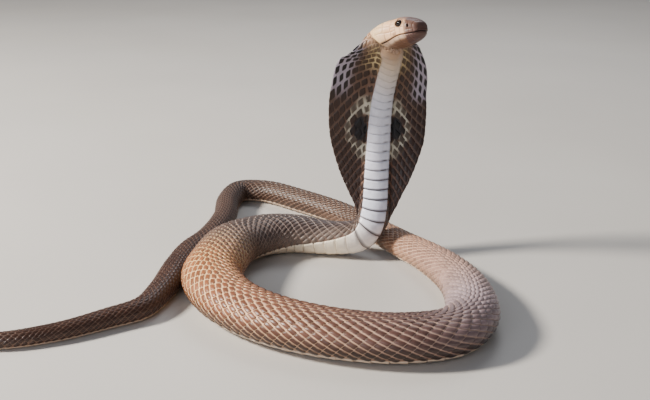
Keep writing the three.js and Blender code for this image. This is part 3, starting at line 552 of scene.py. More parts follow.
class Look:
    """A node material being put together."""

    def __init__(self, name):
        self.material = bpy.data.materials.new(name)
        self.material.use_nodes = True
        self.tree = self.material.node_tree
        self.tree.nodes.clear()
        self.shader = self.node("BsdfPrincipled")
        self.link(self.shader.outputs[0], self.node("OutputMaterial").inputs[0])
        self.place = self.node("TexCoord").outputs["Object"]

    def node(self, kind, **settings):
        node = self.tree.nodes.new("ShaderNode" + kind)
        for name, value in settings.items():
            setattr(node, name, value)
        return node

    def link(self, a, b):
        self.tree.links.new(a, b)

    def put(self, value, socket):
        """Another node's output, a screen colour or a number on a socket."""
        if isinstance(value, bpy.types.NodeSocket):
            self.link(value, socket)
        else:
            socket.default_value = (*rgb(*value), 1) if isinstance(value, tuple) else value

    def layer(self, name):
        return self.node("Attribute", attribute_name=name).outputs["Fac"]

    def times(self, a, b, clamp=False):
        node = self.node("Math", operation="MULTIPLY", use_clamp=clamp)
        self.put(a, node.inputs[0])
        self.put(b, node.inputs[1])
        return node.outputs[0]

    def mix(self, share, a, b, kind="MIX"):
        node = self.node("Mix", data_type="RGBA", blend_type=kind)
        self.put(share, node.inputs["Factor"])
        self.put(a, node.inputs[6])
        self.put(b, node.inputs[7])
        return node.outputs[2]

    def wash(self, colour, *coats):
        """Coats over a colour, each a layer that says where, its most and a screen colour."""
        for name, most, over in coats:
            share = self.layer(name)
            colour = self.mix(share if most == 1 else self.times(share, most), colour, over)
        return colour

    def ramp(self, value, stops):
        node = self.node("ValToRGB")
        elements = node.color_ramp.elements
        while len(elements) < len(stops):
            elements.new(0.5)
        for element, (place, *colour) in zip(elements, stops):
            element.position = place
            element.color = (*colour, 1)
        self.put(value, node.inputs[0])
        return node.outputs[0]

    def level(self, value, a, b):
        """value spread from 0..1 to a..b."""
        node = self.node("MapRange")
        self.put(value, node.inputs[0])
        self.put(a, node.inputs[3])
        self.put(b, node.inputs[4])
        return node.outputs[0]

    def noise(self, scale, detail=3.0, rough=0.5):
        node = self.node("TexNoise")
        for socket, value in zip(NOISE_SOCKETS, (self.place, scale, detail, rough)):
            self.put(value, node.inputs[socket])
        return node.outputs["Fac"]

    def finish(self, colour, rough, bump, strength, distance, **plain):
        self.put(colour, self.shader.inputs["Base Color"])
        self.put(rough, self.shader.inputs["Roughness"])
        node = self.node("Bump")
        node.inputs["Strength"].default_value = strength
        node.inputs["Distance"].default_value = distance
        self.link(bump, node.inputs["Height"])
        self.link(node.outputs[0], self.shader.inputs["Normal"])
        for name, value in plain.items():
            self.shader.inputs[name.replace("_", " ")].default_value = value
        return self.material


def rgb(r, g, b):
    """A colour given as it looks on a screen, 0 to 255, for a shader."""
    out = []
    for v in (r, g, b):
        v /= 255
        out.append(v / 12.92 if v < 0.04045 else ((v + 0.055) / 1.055) ** 2.4)
    return tuple(out)


def along_body(look, stops):
    """A colour ramp by the distance behind the snout, its stops in screen colours."""
    return look.ramp(look.layer("run"), [(s / LENGTH, *rgb(*colour)) for s, *colour in stops])


# Lower sides: FLANK_RAMP sets where they begin; the brown mixed over their skin and net is partly the
# flank's own colour, partly painted shade.
FLANK_RAMP = (2.7, -2.0)
FLANK_NET_AND_SHADE = (112, 82, 65)


def flank_and_painted_light_share(look, most):
    """0 on the back and most low on the side, where the flank colour goes with its painted shade and
    painted sunlight.
    """
    return look.times(look.level(look.layer("round"), *FLANK_RAMP), most, True)


def scale_look(name, hood):
    look = Look(name)
    rim = look.layer("rim")
    # Along the back: the snake's own banding, with painted light in two places: partly painted sunlight
    # on the left turn near 385, and a pale lilac painted sky reflection on the top near 640.
    body = along_body(look, [
        (0, 214, 170, 130), (37, 200, 154, 116), (50, 112, 84, 64), (64, 70, 48, 36),
        (175, 58, 44, 42), (230, 70, 60, 58), (300, 78, 66, 62), (345, 122, 92, 74),
        (385, 172, 106, 60), (450, 134, 82, 56), (520, 98, 63, 50), (580, 88, 65, 62),
        (640, 182, 160, 164), (700, 178, 142, 126), (770, 158, 116, 90), (840, 70, 51, 41),
        (980, 52, 39, 33), (1120, 72, 50, 40), (1180, 56, 32, 23), (1300, 48, 27, 19),
        (LENGTH, 44, 26, 19),
    ])
    # Low on the side the scales take this ramp: the snake's own flank colour, darkened as painted shade
    # on the front coil's lower side (440-560) and lightened as painted sunlight on the far run (690-770).
    flank_and_painted_light = along_body(look, [
        (0, 190, 160, 130), (60, 60, 43, 33), (175, 54, 42, 41), (235, 138, 122, 110),
        (300, 108, 90, 78), (380, 128, 76, 40), (440, 52, 31, 22), (560, 36, 24, 19),
        (630, 42, 33, 33), (690, 150, 118, 98), (770, 190, 146, 116), (900, 74, 56, 45),
        (1120, 80, 57, 46), (1180, 54, 32, 23), (LENGTH, 42, 25, 19),
    ])
    low = flank_and_painted_light_share(look, 1.0)
    colour = look.mix(low, body, flank_and_painted_light)
    dark = look.level(look.layer("chance"), 0.72, 1.18)
    colour = look.mix(1.0, colour, dark, "MULTIPLY")
    mottle = look.noise(420.0, 4.0, 0.6)
    colour = look.mix(look.level(mottle, 0.0, 0.5), colour, (60, 38, 28))
    # Pale skin between the scales: its own cream, with partly painted sunlight in the bright cream near
    # 385 and a painted sky reflection in the lilac near 630.
    net = along_body(look, [
        (0, 206, 176, 150), (60, 104, 84, 73), (175, 100, 84, 80), (230, 170, 158, 156),
        (330, 190, 166, 150), (385, 255, 220, 158), (450, 250, 206, 160), (520, 232, 190, 160),
        (580, 186, 162, 154), (630, 210, 194, 198), (760, 230, 192, 164), (1000, 112, 90, 76),
        (1180, 84, 58, 45), (LENGTH, 72, 48, 37),
    ])
    net = look.mix(look.times(low, 0.5), net, FLANK_NET_AND_SHADE)
    edge = look.times(look.times(rim, rim), 0.85)
    colour = look.mix(edge, colour, net)
    if hood:
        brown = look.mix(look.level(look.noise(60.0), 0.0, 1.0), (34, 22, 17), (60, 42, 35))
        colour = look.mix(look.times(look.layer("hood"), 0.7), colour, brown)
        faint = look.level(rim, 0.14, 1.0)
        colour = look.wash(
            colour, ("streak", faint, (176, 150, 104)), ("ring", faint, (176, 168, 148)),
            ("margin", 1, (18, 14, 16)), ("ink", 1, (12, 11, 15)),
        )
    rough = look.level(look.noise(900.0, 2.0), 0.28, 0.44)
    grain = look.noise(2600.0, 3.0)
    return look.finish(colour, rough, grain, 0.25, 0.0002, Specular_IOR_Level=0.4)


def skin_look(name, hood):
    look = Look(name)
    # Bare skin along the body, the same banding as the scales: the bright stops near 385 and 760 are
    # partly painted sunlight.
    colour = along_body(look, [
        (0, 214, 176, 142), (37, 200, 158, 122), (50, 112, 86, 68), (64, 68, 51, 42),
        (175, 66, 52, 50), (230, 140, 126, 120), (310, 150, 132, 124), (385, 255, 214, 150),
        (460, 244, 198, 152), (560, 190, 156, 136), (630, 130, 112, 110), (760, 224, 184, 156),
        (860, 122, 97, 81), (1000, 100, 79, 67), (1180, 74, 50, 38), (LENGTH, 62, 41, 31),
    ])
    colour = look.mix(flank_and_painted_light_share(look, 0.5), colour, FLANK_NET_AND_SHADE)
    mottle = look.noise(180.0, 4.0, 0.6)
    colour = look.mix(look.level(mottle, -0.2, 0.6), colour, (128, 96, 78))
    if hood:
        colour = look.wash(
            colour, ("streak", 1, (206, 184, 136)), ("ring", 1, (190, 184, 166)),
            ("margin", 1, (158, 148, 160)), ("ink", 1, (20, 18, 24)),
        )
    rough = look.level(look.noise(700.0, 2.0), 0.5, 0.7)
    return look.finish(colour, rough, look.noise(1800.0, 4.0), 0.5, 0.0003)


def scute_look(name):
    look = Look(name)
    # Belly colour along the body: the dark tan on the throat (0-44) is painted shade under the chin, and
    # the bright cream at the neck's base (204-262) is partly the belly's own cream, partly painted
    # sunlight.
    colour = along_body(look, [
        (0, 110, 76, 54), (32, 122, 88, 64), (44, 176, 144, 114), (56, 206, 184, 158),
        (72, 216, 204, 194), (92, 222, 222, 232), (186, 230, 232, 248), (204, 240, 230, 222),
        (222, 255, 240, 214), (262, 250, 232, 204), (310, 206, 184, 160), (LENGTH, 184, 152, 124),
    ])
    mottle = look.level(look.noise(240.0, 4.0, 0.6), -0.3, 0.45)
    colour = look.mix(mottle, colour, (164, 154, 160))
    colour = look.wash(colour, ("line", 1, (44, 40, 48)))
    rough = look.level(look.noise(600.0, 2.0), 0.3, 0.45)
    return look.finish(colour, rough, look.noise(1500.0, 3.0), 0.2, 0.0002)


hood_scales_look = scale_look("hood_scale_finish", True)
body_scales_look = scale_look("body_scale_finish", False)
hood_skin_look = skin_look("hood_skin_finish", True)
body_skin_look = skin_look("body_skin_finish", False)
scutes_look = scute_look("belly_scute_finish")

# Skin under the scales.
SKIN_DEPTH = -0.35
BELLY_SKIN_DEPTH = -0.5
SKIN_FADE = 20
BELLY_COLUMNS, LOW_COLUMNS, HIGH_COLUMNS = 8, 14, 18


def skin_tube(name, start, end, step, material, nodes):
    """A length of bare skin, one column of its mesh kept on the widest line of every section."""
    count = int(round((end - start) / step)) + 1
    s = np.linspace(start, end, count)
    apex = on_table(apex_share, s)[:, None]
    belly = np.linspace(0, SCUTE_SHARE, BELLY_COLUMNS, endpoint=False)[None].repeat(count, 0)
    low = SCUTE_SHARE + (apex - SCUTE_SHARE) * np.linspace(0, 1, LOW_COLUMNS, endpoint=False)[None]
    high = apex + (0.5 - apex) * np.linspace(0, 1, HIGH_COLUMNS + 1)[None]
    one = np.hstack([belly, low, high])
    q = np.hstack([one[:, :-1], -one[:, :0:-1]])
    columns = q.shape[1]
    grid_s = s[:, None].repeat(columns, 1)
    lift = np.where(np.abs(q) < SCUTE_SHARE, BELLY_SKIN_DEPTH, SKIN_DEPTH)
    lift = lift * smooth(LENGTH, LENGTH - SKIN_FADE, grid_s)
    wide = np.hstack([one, 1 - one[:, -2::-1]])
    piece = new_piece(
        name, at_share(grid_s, q, lift).reshape(-1, 3), grid_faces(count, columns, wrap=True),
        grid_map(count, columns, lambda r, c: ((s[r] - start) / (end - start), wide[r, c])),
        pattern(grid_s.ravel(), np.abs(q).ravel()), material,
    )
    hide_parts(*nodes)


def nodes_named(*starts):
    return [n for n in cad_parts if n.startswith(starts)]


NECK_END, TAIL_START = 190.0, 1180.0
skin_tube(
    "neck_skin", 37.0, NECK_END, 1.0, hood_skin_look,
    nodes_named("neck_upper", "neck_lower", "hood_"),
)
skin_tube(
    "trunk_skin", NECK_END, TAIL_START, 2.0, body_skin_look,
    nodes_named("neck_base", "forebody", "left_turn", "front_coil", "right_turn", "rear_"),
)
skin_tube(
    "tail_skin", TAIL_START, LENGTH - 0.6, 1.6, body_skin_look, nodes_named("tail"),
)


def plates_piece(name, rows, columns, turned, s, q, lift, places, layers, material):
    """Plates of rows by columns points each, some with their quads turned, as one piece."""
    starts = np.arange(len(turned)) * rows * columns
    faces = grid_faces(rows, columns)[None] + starts[:, None, None]
    faces[turned] = faces[turned][:, :, ::-1]
    faces = faces.reshape(-1, 4)
    uv = np.clip(places.reshape(-1, 2)[faces.ravel()], 0, 1)
    layers = {key: v if v.ndim > 1 else np.repeat(v, rows * columns) for key, v in layers.items()}
    new_piece(name, at_share(s, q, lift).reshape(-1, 3), faces, uv, layers, material)


# Scales: each a low dome with a thin free rear edge, lying askew with that end towards the belly.
SCALE_U = np.array([-1.0, -0.95, -0.72, -0.38, 0.0, 0.36, 0.66, 0.87, 0.965, 1.0])
SCALE_V = np.array([-1.0, -0.93, -0.64, -0.22, 0.22, 0.64, 0.93, 1.0])
SCALE_ASPECT = 2.05
SCALE_TILT = math.radians(33)
SCALE_STRETCH = 1.7
SCALE_CORNERS = 7
SIDE_GAP = 0.1
END_GAP = 0.05
SCALE_RISE = 0.4
SCALE_DOME = 0.42
SCALE_LOW = 0.02
SCALE_SUNK = -0.6
SCALE_TALL = 0.62
SCALE_SIZES = (0.3, 1.15)
RIM_POWER = 5
END_RIM, END_RIM_AT = 0.85, (0.8, 1)
MARGIN_SHRINK = 0.14
MARGIN_SLIMMER = 0.85
HOOD_SCALE_HALF = 2.6
HOOD_LEAN = 0.4
NAPE_FLATNESS = 0.45
NAPE_FLAT_TO = (33, 46)
NAPE_SCALES = 9
NARROWEST = 0.3
HEAD_EDGE_ABOVE, HEAD_EDGE_BELOW = 32.6, 30.8
FRONT_SHARE = 0.33
STOUT_HALF = 16
SCALE_PATCH = 0.0015


def scale_outline(below, above, tilt):
    """Places of a scale's points: pitches along, rows across, and share of the way to the edge."""
    ahead = np.array([math.cos(tilt), -math.sin(tilt)])
    aside = np.array([math.sin(tilt), math.cos(tilt)])
    facing = []
    for x, y in ((1, 0), (-1, 0), (above, 1), (above - 1, 1), (-below, -1), (1 - below, -1)):
        to_next = np.array([x * SCALE_ASPECT, y])
        across = ahead * (to_next @ ahead) / SCALE_STRETCH ** 2 + aside * (to_next @ aside)
        gap = SIDE_GAP if x * y > 0 else END_GAP
        facing.append(across / (to_next @ across / 2 - gap * np.linalg.norm(across)))
    u, v = crossed(SCALE_U, SCALE_V)
    along_, side_ = u * np.sqrt(1 - v * v / 2), v * np.sqrt(1 - u * u / 2)
    out = np.hypot(along_, side_)
    way = 2 * along_[:, None] * ahead + side_[:, None] * aside
    way /= np.linalg.norm(way, axis=1, keepdims=True)
    edge = (np.maximum(way @ np.array(facing).T, 0) ** SCALE_CORNERS).sum(1) ** (-1 / SCALE_CORNERS)
    place_ = way * (edge * out)[:, None]
    return place_[:, 0] / SCALE_ASPECT, place_[:, 1], out, along_, side_


def row_outlines():
    steps = np.r_[ROW_STEP[0], ROW_STEP, ROW_STEP[-1]]
    fade = [min(1, (SIDE_ROWS - k) / 3) for k in range(SIDE_ROWS + 1)]
    rows = [scale_outline(steps[k], steps[k + 1], SCALE_TILT * fade[k]) for k in range(SIDE_ROWS + 1)]
    return [np.array(v) for v in zip(*rows)]


def rows_at(k, s):
    """Lower and upper edge of the rows k at the places s, as shares of the girth."""
    low, top = np.zeros_like(s), np.zeros_like(s)
    for row in range(SIDE_ROWS + 1):
        at = k == row
        low[at] = on_table(row_low[:, row], s[at])
        top[at] = on_table(row_top[:, row], s[at])
    return low, top


def scale_spots(start, end):
    """Row, place counted in scales, side and a random number of each scale between start and end."""
    spots = []
    for k in range(SIDE_ROWS + 1):
        for number in range(-NAPE_SCALES, len(scale_edges) - 2):
            i = number + row_phase[0, k]
            for _ in range(3):
                i = number + on_table(row_phase[:, k], edge_at(i + 0.5))
            middle = float(edge_at(i + 0.5))
            if not start <= middle < end:
                continue
            if on_table(row_weight[:, k], middle) < NARROWEST * ROW_WEIGHTS[k]:
                continue
            above = on_table(row_low[:, k], middle) > 0.3
            if float(edge_at(i)) < (HEAD_EDGE_ABOVE if above else HEAD_EDGE_BELOW):
                continue
            for side in ((1.0,) if k == SIDE_ROWS else (1.0, -1.0)):
                spots.append((k, i, side, rng.random()))
    return [np.array(v) for v in zip(*spots)]


def scale_plates(name, start, end, material):
    """All the scales whose middle is between start and end, as one piece."""
    k, i, side, chance = scale_spots(start, end)
    x, y, out, ahead, aside = (v[k] for v in row_outlines())
    middle = edge_at(i + 0.5)
    low, top = rows_at(k, middle)
    centre_share = np.minimum((low + top) / 2, 1 - (low + top) / 2)
    marks = pattern(fanned(middle, centre_share), centre_share)
    in_margin = marks["margin"][:, None]
    s = edge_at(i[:, None] + 0.5 + x)
    low, top = rows_at(k, s)
    row_tall = (top - low) * on_table(per_share, s)
    most = HOOD_SCALE_HALF - MARGIN_SLIMMER * in_margin
    slim = np.minimum(1, most / np.maximum(SCALE_TALL * row_tall, 0.1))
    lean = HOOD_LEAN * SCALE_ASPECT * x * (centre_share < FRONT_SHARE)[:, None]
    y = mix(y, (y + lean) * slim, on_table(hood_spread, s)) * (1 - MARGIN_SHRINK * in_margin)
    q = (low + top) / 2 + y * (top - low)
    s = fanned(s, np.minimum(q, 1 - q))
    size = np.clip(on_table(half_width(table_s), s) / STOUT_HALF, *SCALE_SIZES)
    size = size * mix(NAPE_FLATNESS, 1, smooth(*NAPE_FLAT_TO, s))
    lift = SCALE_LOW + SCALE_RISE * (ahead + 1) / 2 + SCALE_DOME * (1 - out ** 2)
    lift = np.where(out > 0.999, SCALE_SUNK, lift * size + SKIN_DEPTH)
    round_ = 0.5 + side * np.minimum(q.mean(1), 0.5) * 0.99
    centre = np.stack([(middle - start) / (end - start), round_], -1)
    places = centre[:, None] + np.stack([x, y], -1) * SCALE_PATCH
    rim = np.maximum(np.abs(aside) ** RIM_POWER, END_RIM * smooth(*END_RIM_AT, ahead))
    plates_piece(
        name, len(SCALE_U), len(SCALE_V), side > 0, s, q * side[:, None], lift, places,
        {**marks, "chance": chance, "rim": rim}, material,
    )


scale_plates("hood_scales", 30.0, 192.0, hood_scales_look)
scale_plates("forebody_scales", 192.0, 430.0, body_scales_look)
scale_plates("coil_scales", 430.0, 700.0, body_scales_look)
scale_plates("rear_scales", 700.0, 1180.0, body_scales_look)
scale_plates("tail_scales", 1180.0, LENGTH, body_scales_look)

# Belly scutes: wide plates, each with a free rear edge over the next.
SCUTE_T = np.array([0.0, 0.04, 0.25, 0.5, 0.75, 0.9, 0.97, 1.0])
SCUTE_W = np.r_[-1.0, np.linspace(-0.985, 0.985, 19), 1.0]
SCUTE_BOW = 1.5
SCUTE_LIFT = 0.45
SCUTE_SUNK = -0.7
SCUTE_REACH = SCUTE_SHARE * 0.985
SCUTE_CURL = 1.3
SCUTE_LENGTH = 0.99
SCUTE_STOUT = 12
PAIRED_HALF = 0.47
MAP_SPARE = 12
LINE_FROM, LINE_FULL = 0.84, 0.92
LINED_ALONG, LINED_AFTER, LINED_FAINT = (120, 172, 200, 214), (214, 300), 0.12
BARRED_ACROSS, BARRED_ALONG, BARRED_MOST = (-0.75, -0.6, -0.4, -0.25), (62, 76, 150, 170), 0.6


def scute_plates(name, start, end, paired=False):
    edges = [i for i in range(len(scute_edges) - 1) if start <= scute_edges[i] < end]
    t, w = crossed(SCUTE_T, SCUTE_W)
    halves = (-1, 1) if paired else (0,)
    i = np.repeat(np.array(edges), len(halves))
    half = np.tile(np.array(halves), len(edges))
    across = np.where(half[:, None] == 0, w[None], half[:, None] * (w[None] * PAIRED_HALF + 0.5))
    pitch_here = (scute_edges[i + 1] - scute_edges[i])[:, None]
    bow = SCUTE_BOW * pitch_here / 8 * (1 - across ** 2)
    s = scute_edges[i][:, None] + pitch_here * (t[None] * SCUTE_LENGTH) + bow / 2
    s = np.minimum(s, LENGTH - 0.3)
    q = across * SCUTE_REACH
    border = (np.abs(w) == 1) | (t == 0) | (t == 1)
    lift = np.where(border[None], SCUTE_SUNK, SCUTE_LIFT * t[None] ** SCUTE_CURL)
    lift = lift * np.clip(half_width(s) / SCUTE_STOUT, 0.25, 1)
    places = np.stack([(s - start) / (end + MAP_SPARE - start), 0.5 + q], -1)
    lined = between(*LINED_ALONG, s) + LINED_FAINT * (1 - smooth(*LINED_AFTER, s))
    barred = between(*BARRED_ACROSS, across)
    lined = lined + BARRED_MOST * barred * between(*BARRED_ALONG, s)
    line_ = np.minimum(lined, 1) * smooth(LINE_FROM, LINE_FULL, t)[None]
    plates_piece(
        name, len(SCUTE_T), len(SCUTE_W), half >= 0, s, q, lift, places,
        {"run": s / LENGTH, "line": line_}, scutes_look,
    )


scute_plates("neck_scutes", 40.0, 226.0)
scute_plates("trunk_scutes", 226.0, 1196.0)
scute_plates("tail_scutes", 1196.0, LENGTH, paired=True)

# Head: one fine skin with its shields, lips, nostrils and the openings of its eyes.
HEAD_END = 41.0
HEAD_STEP = 0.24
HEAD_AROUND = 330
fine_s = np.linspace(0, HEAD_END, 4001)
profile_run = np.hypot(np.diff(fine_s), np.diff(along(HEAD_WIDTH, fine_s)))
profile_run = np.r_[0, np.cumsum(profile_run)]
head_s = np.interp(np.arange(0, profile_run[-1] + HEAD_STEP, HEAD_STEP), profile_run, fine_s)
head_deg = np.linspace(-180, 180, HEAD_AROUND, endpoint=False)
mouth_deg = np.zeros(len(fine_s))
side_deg = np.linspace(90, 0, 181)
for i, s in enumerate(fine_s):
    _, below, _ = section(np.full(len(side_deg), s), np.radians(side_deg))
    over = below > along(MOUTH_LINE, s)
    mouth_deg[i] = 180 - side_deg[np.argmax(over)] if over.any() else 180.0


def mouth_at(s):
    """Degrees from the middle of the crown to the line of the mouth."""
    return np.interp(s, fine_s, mouth_deg)


# Shields of one side as (mm behind the snout, degrees from the middle of the crown) corners.
LIP_SEAM = 1.4
UPPER_LIP = [2.6, 5.2, 8.5, 12.0, 15.8, 19.8, 25.0, 30.9]
UPPER_LIP_TOP = [(93, 93), (93, 93), (80, 76), (76, 78), (88, 90), (90, 89), (89, 87)]
LOWER_LIP = [3.0, 6.4, 10.2, 14.6, 19.4, 24.2, 29.4]
CHIN_EDGE = 138
SIDE_SHIELDS = {
    "internasal": [(2.6, 0), (2.6, 48), (6.2, 52), (6.9, 0)],
    "prefrontal": [(6.9, 0), (6.2, 52), (8.4, 62), (11.2, 48), (12.4, 22), (11.9, 0)],
    "supraocular": [(12.4, 22), (11.2, 48), (13.4, 52), (15.6, 51), (19.6, 46), (18.8, 20)],
    "parietal": [(18.8, 20), (22.8, 0), (32.6, 0), (33.6, 26), (28.8, 48), (19.6, 46)],
    "front_nasal": [(2.6, 48), (2.6, 93), (5.7, 93), (5.7, 51.5)],
    "rear_nasal": [(5.7, 51.5), (5.7, 93), (8.5, 93), (8.5, 80), (8.4, 62), (6.2, 52)],
    "preocular": [(8.4, 62), (8.5, 80), (12.0, 76), (11.6, 66), (11.2, 48)],
    "upper_postocular": [(15.6, 51), (15.2, 64), (20, 67), (19.6, 46)],
    "middle_postocular": [(15.2, 64), (15.4, 77), (20, 80), (20, 67)],
    "lower_postocular": [(15.4, 77), (15.8, 88), (19.8, 90), (20, 80)],
    "front_upper_temporal": [(19.6, 46), (20, 70), (26.4, 70), (28.8, 48)],
    "front_lower_temporal": [(20, 70), (19.8, 90), (25, 89), (26.6, 88.7), (26.4, 70)],
    "rear_upper_temporal": [(28.8, 48), (26.4, 70), (32.8, 70), (34.2, 50), (33.6, 26)],
    "rear_lower_temporal": [(26.4, 70), (26.6, 88.7), (30.9, 87), (33.2, 86), (32.8, 70)],
    "front_chin": [(6.4, 138), (6.9, 179.4), (15, 179.4), (14.8, 138)],
    "rear_chin": [(15, 138), (15.2, 179.4), (24.6, 176), (23.4, 144)],
    "first_chin": [(3, 138), (3, 179.4), (6.7, 179.4), (6.4, 138)],
}
shields = []


def add_shield(corners, lip=False):
    """Both sides' shields of these corners."""
    for hand in (1, -1):
        shields.append((np.array([(s, hand * d) for s, d in corners], float), lip))


for corners in SIDE_SHIELDS.values():
    add_shield(corners)
for a, b, tops in zip(UPPER_LIP, UPPER_LIP[1:], UPPER_LIP_TOP):
    low_edge = [(s, float(mouth_at(s)) - LIP_SEAM) for s in np.linspace(b, a, 5)]
    add_shield([(a, tops[0]), (b, tops[1])] + low_edge, lip=True)
for a, b in zip(LOWER_LIP, LOWER_LIP[1:]):
    top_edge = [(s, float(mouth_at(s)) + LIP_SEAM) for s in np.linspace(a, b, 5)]
    add_shield(top_edge + [(b, CHIN_EDGE), (a, CHIN_EDGE)], lip=True)
FRONTAL = [(11.9, 0), (12.4, 22), (18.8, 20), (22.8, 0), (18.8, -20), (12.4, -22)]
ROSTRAL = [(-1, -124), (-1, 124), (2.6, 120), (2.6, -120)]
shields += [(np.array(FRONTAL, float), False), (np.array(ROSTRAL, float), True)]


def shield_field(s, deg, per_s, per_deg):
    """Depth inside its shield in mm, the shield's number, and whether it is a lip shield."""
    depth = np.zeros_like(s)
    number = np.full(s.shape, -1)
    lips = np.zeros_like(s)
    for n, (corners, lip) in enumerate(shields):
        low, high = corners.min(0), corners.max(0)
        near = (s >= low[0]) & (s <= high[0]) & (deg >= low[1]) & (deg <= high[1])
        near = np.where(near)[0]
        x, y = s[near], deg[near]
        inside = np.zeros(len(near), bool)
        far = np.full(len(near), 99.0)
        for a, b in zip(corners, np.roll(corners, -1, 0)):
            rise = np.where(b[1] == a[1], 1e-9, b[1] - a[1])
            inside ^= ((a[1] > y) != (b[1] > y)) & (x < (b[0] - a[0]) * (y - a[1]) / rise + a[0])
            ax, ay = (a[0] - x) * per_s[near], (a[1] - y) * per_deg[near]
            bx, by = (b[0] - x) * per_s[near], (b[1] - y) * per_deg[near]
            dx, dy = bx - ax, by - ay
            share = np.clip(-(ax * dx + ay * dy) / np.maximum(dx * dx + dy * dy, 1e-9), 0, 1)
            far = np.minimum(far, np.hypot(ax + share * dx, ay + share * dy))
        hit = near[inside]
        depth[hit] = far[inside]
        number[hit] = n
        lips[hit] = lip
    return depth, number, lips


EYE_LOOKS = (0.16, 0.93, 0.32)
EYE_OPENING = 2.75


def eye_place(hand):
    """Middle of an eye, and the way that it looks."""
    _, forward, up, left = frame_at(EYE_PLACE[0])
    start = np.array([SNOUT[0] - PLAN_SHIFT[0], SNOUT[1] - PLAN_SHIFT[1], SNOUT[2]])
    back, aside, above = EYE_PLACE
    axis = forward * EYE_LOOKS[0] - left * hand * EYE_LOOKS[1] + up * EYE_LOOKS[2]
    centre = start - forward * back - left * hand * aside + up * above
    return centre, axis / np.linalg.norm(axis)


BAND_UNDER, BAND_WIDE = 1.7, 1.1
NOSTRIL_DEG, NOSTRIL_LONG, NOSTRIL_TALL = 75, 0.72, 1.15
NOSTRIL_RIM_LIFT, NOSTRIL_RIM, NOSTRIL_RIM_WIDE, NOSTRIL_DEEP = 0.16, 1.5, 0.35, 1.2
EYE_RIM_LIFT, EYE_RIM_WIDE, EYE_DARK = 0.3, 0.45, 0.9
LIP_LIFT, LIP_OVER, LIP_WIDE = 0.16, 1.0, 0.6
# The second pair gives where the painted shade under the head begins and is full, in degrees from the
# middle of the crown.
CROWN_DEG, CHIN_SHADE_DEG, REAR_PART = (30, 60), (101, 118), (20, 33)
# The first three give the reach of the snout's dark front, partly painted shade; SEAM_DARK is the width
# of the dark shield seams.
SNOUT_SHADE_END, SNOUT_SHADE_HIGH, SNOUT_SHADE_DEEP, SEAM_DARK = 8.4, 3.2, 0.6, 0.28
BROW_S, BROW_DEG, BROW_LONG, BROW_WIDE, BROW_LIFT = 14.4, 49, 4.2, 6.5, 0.5
SMUDGE_S, SMUDGE_LONG, SMUDGE_DEG, SMUDGE_WIDE = 17.2, 1.4, 100, 5
SHIELD_LIFT, SEAM_WIDE, MOUTH_WIDE, MOUTH_DEEP, SOCKET_DEEP = 0.34, 0.3, 0.3, 0.7, 2.6
NAPE_SUNK, NAPE_FROM = 0.75, (32.8, 36)
SIDE_DEG = 85


def bump(far, wide):
    """1 in the middle of a mark, fading out over its width."""
    return np.exp(-(far / wide) ** 2)


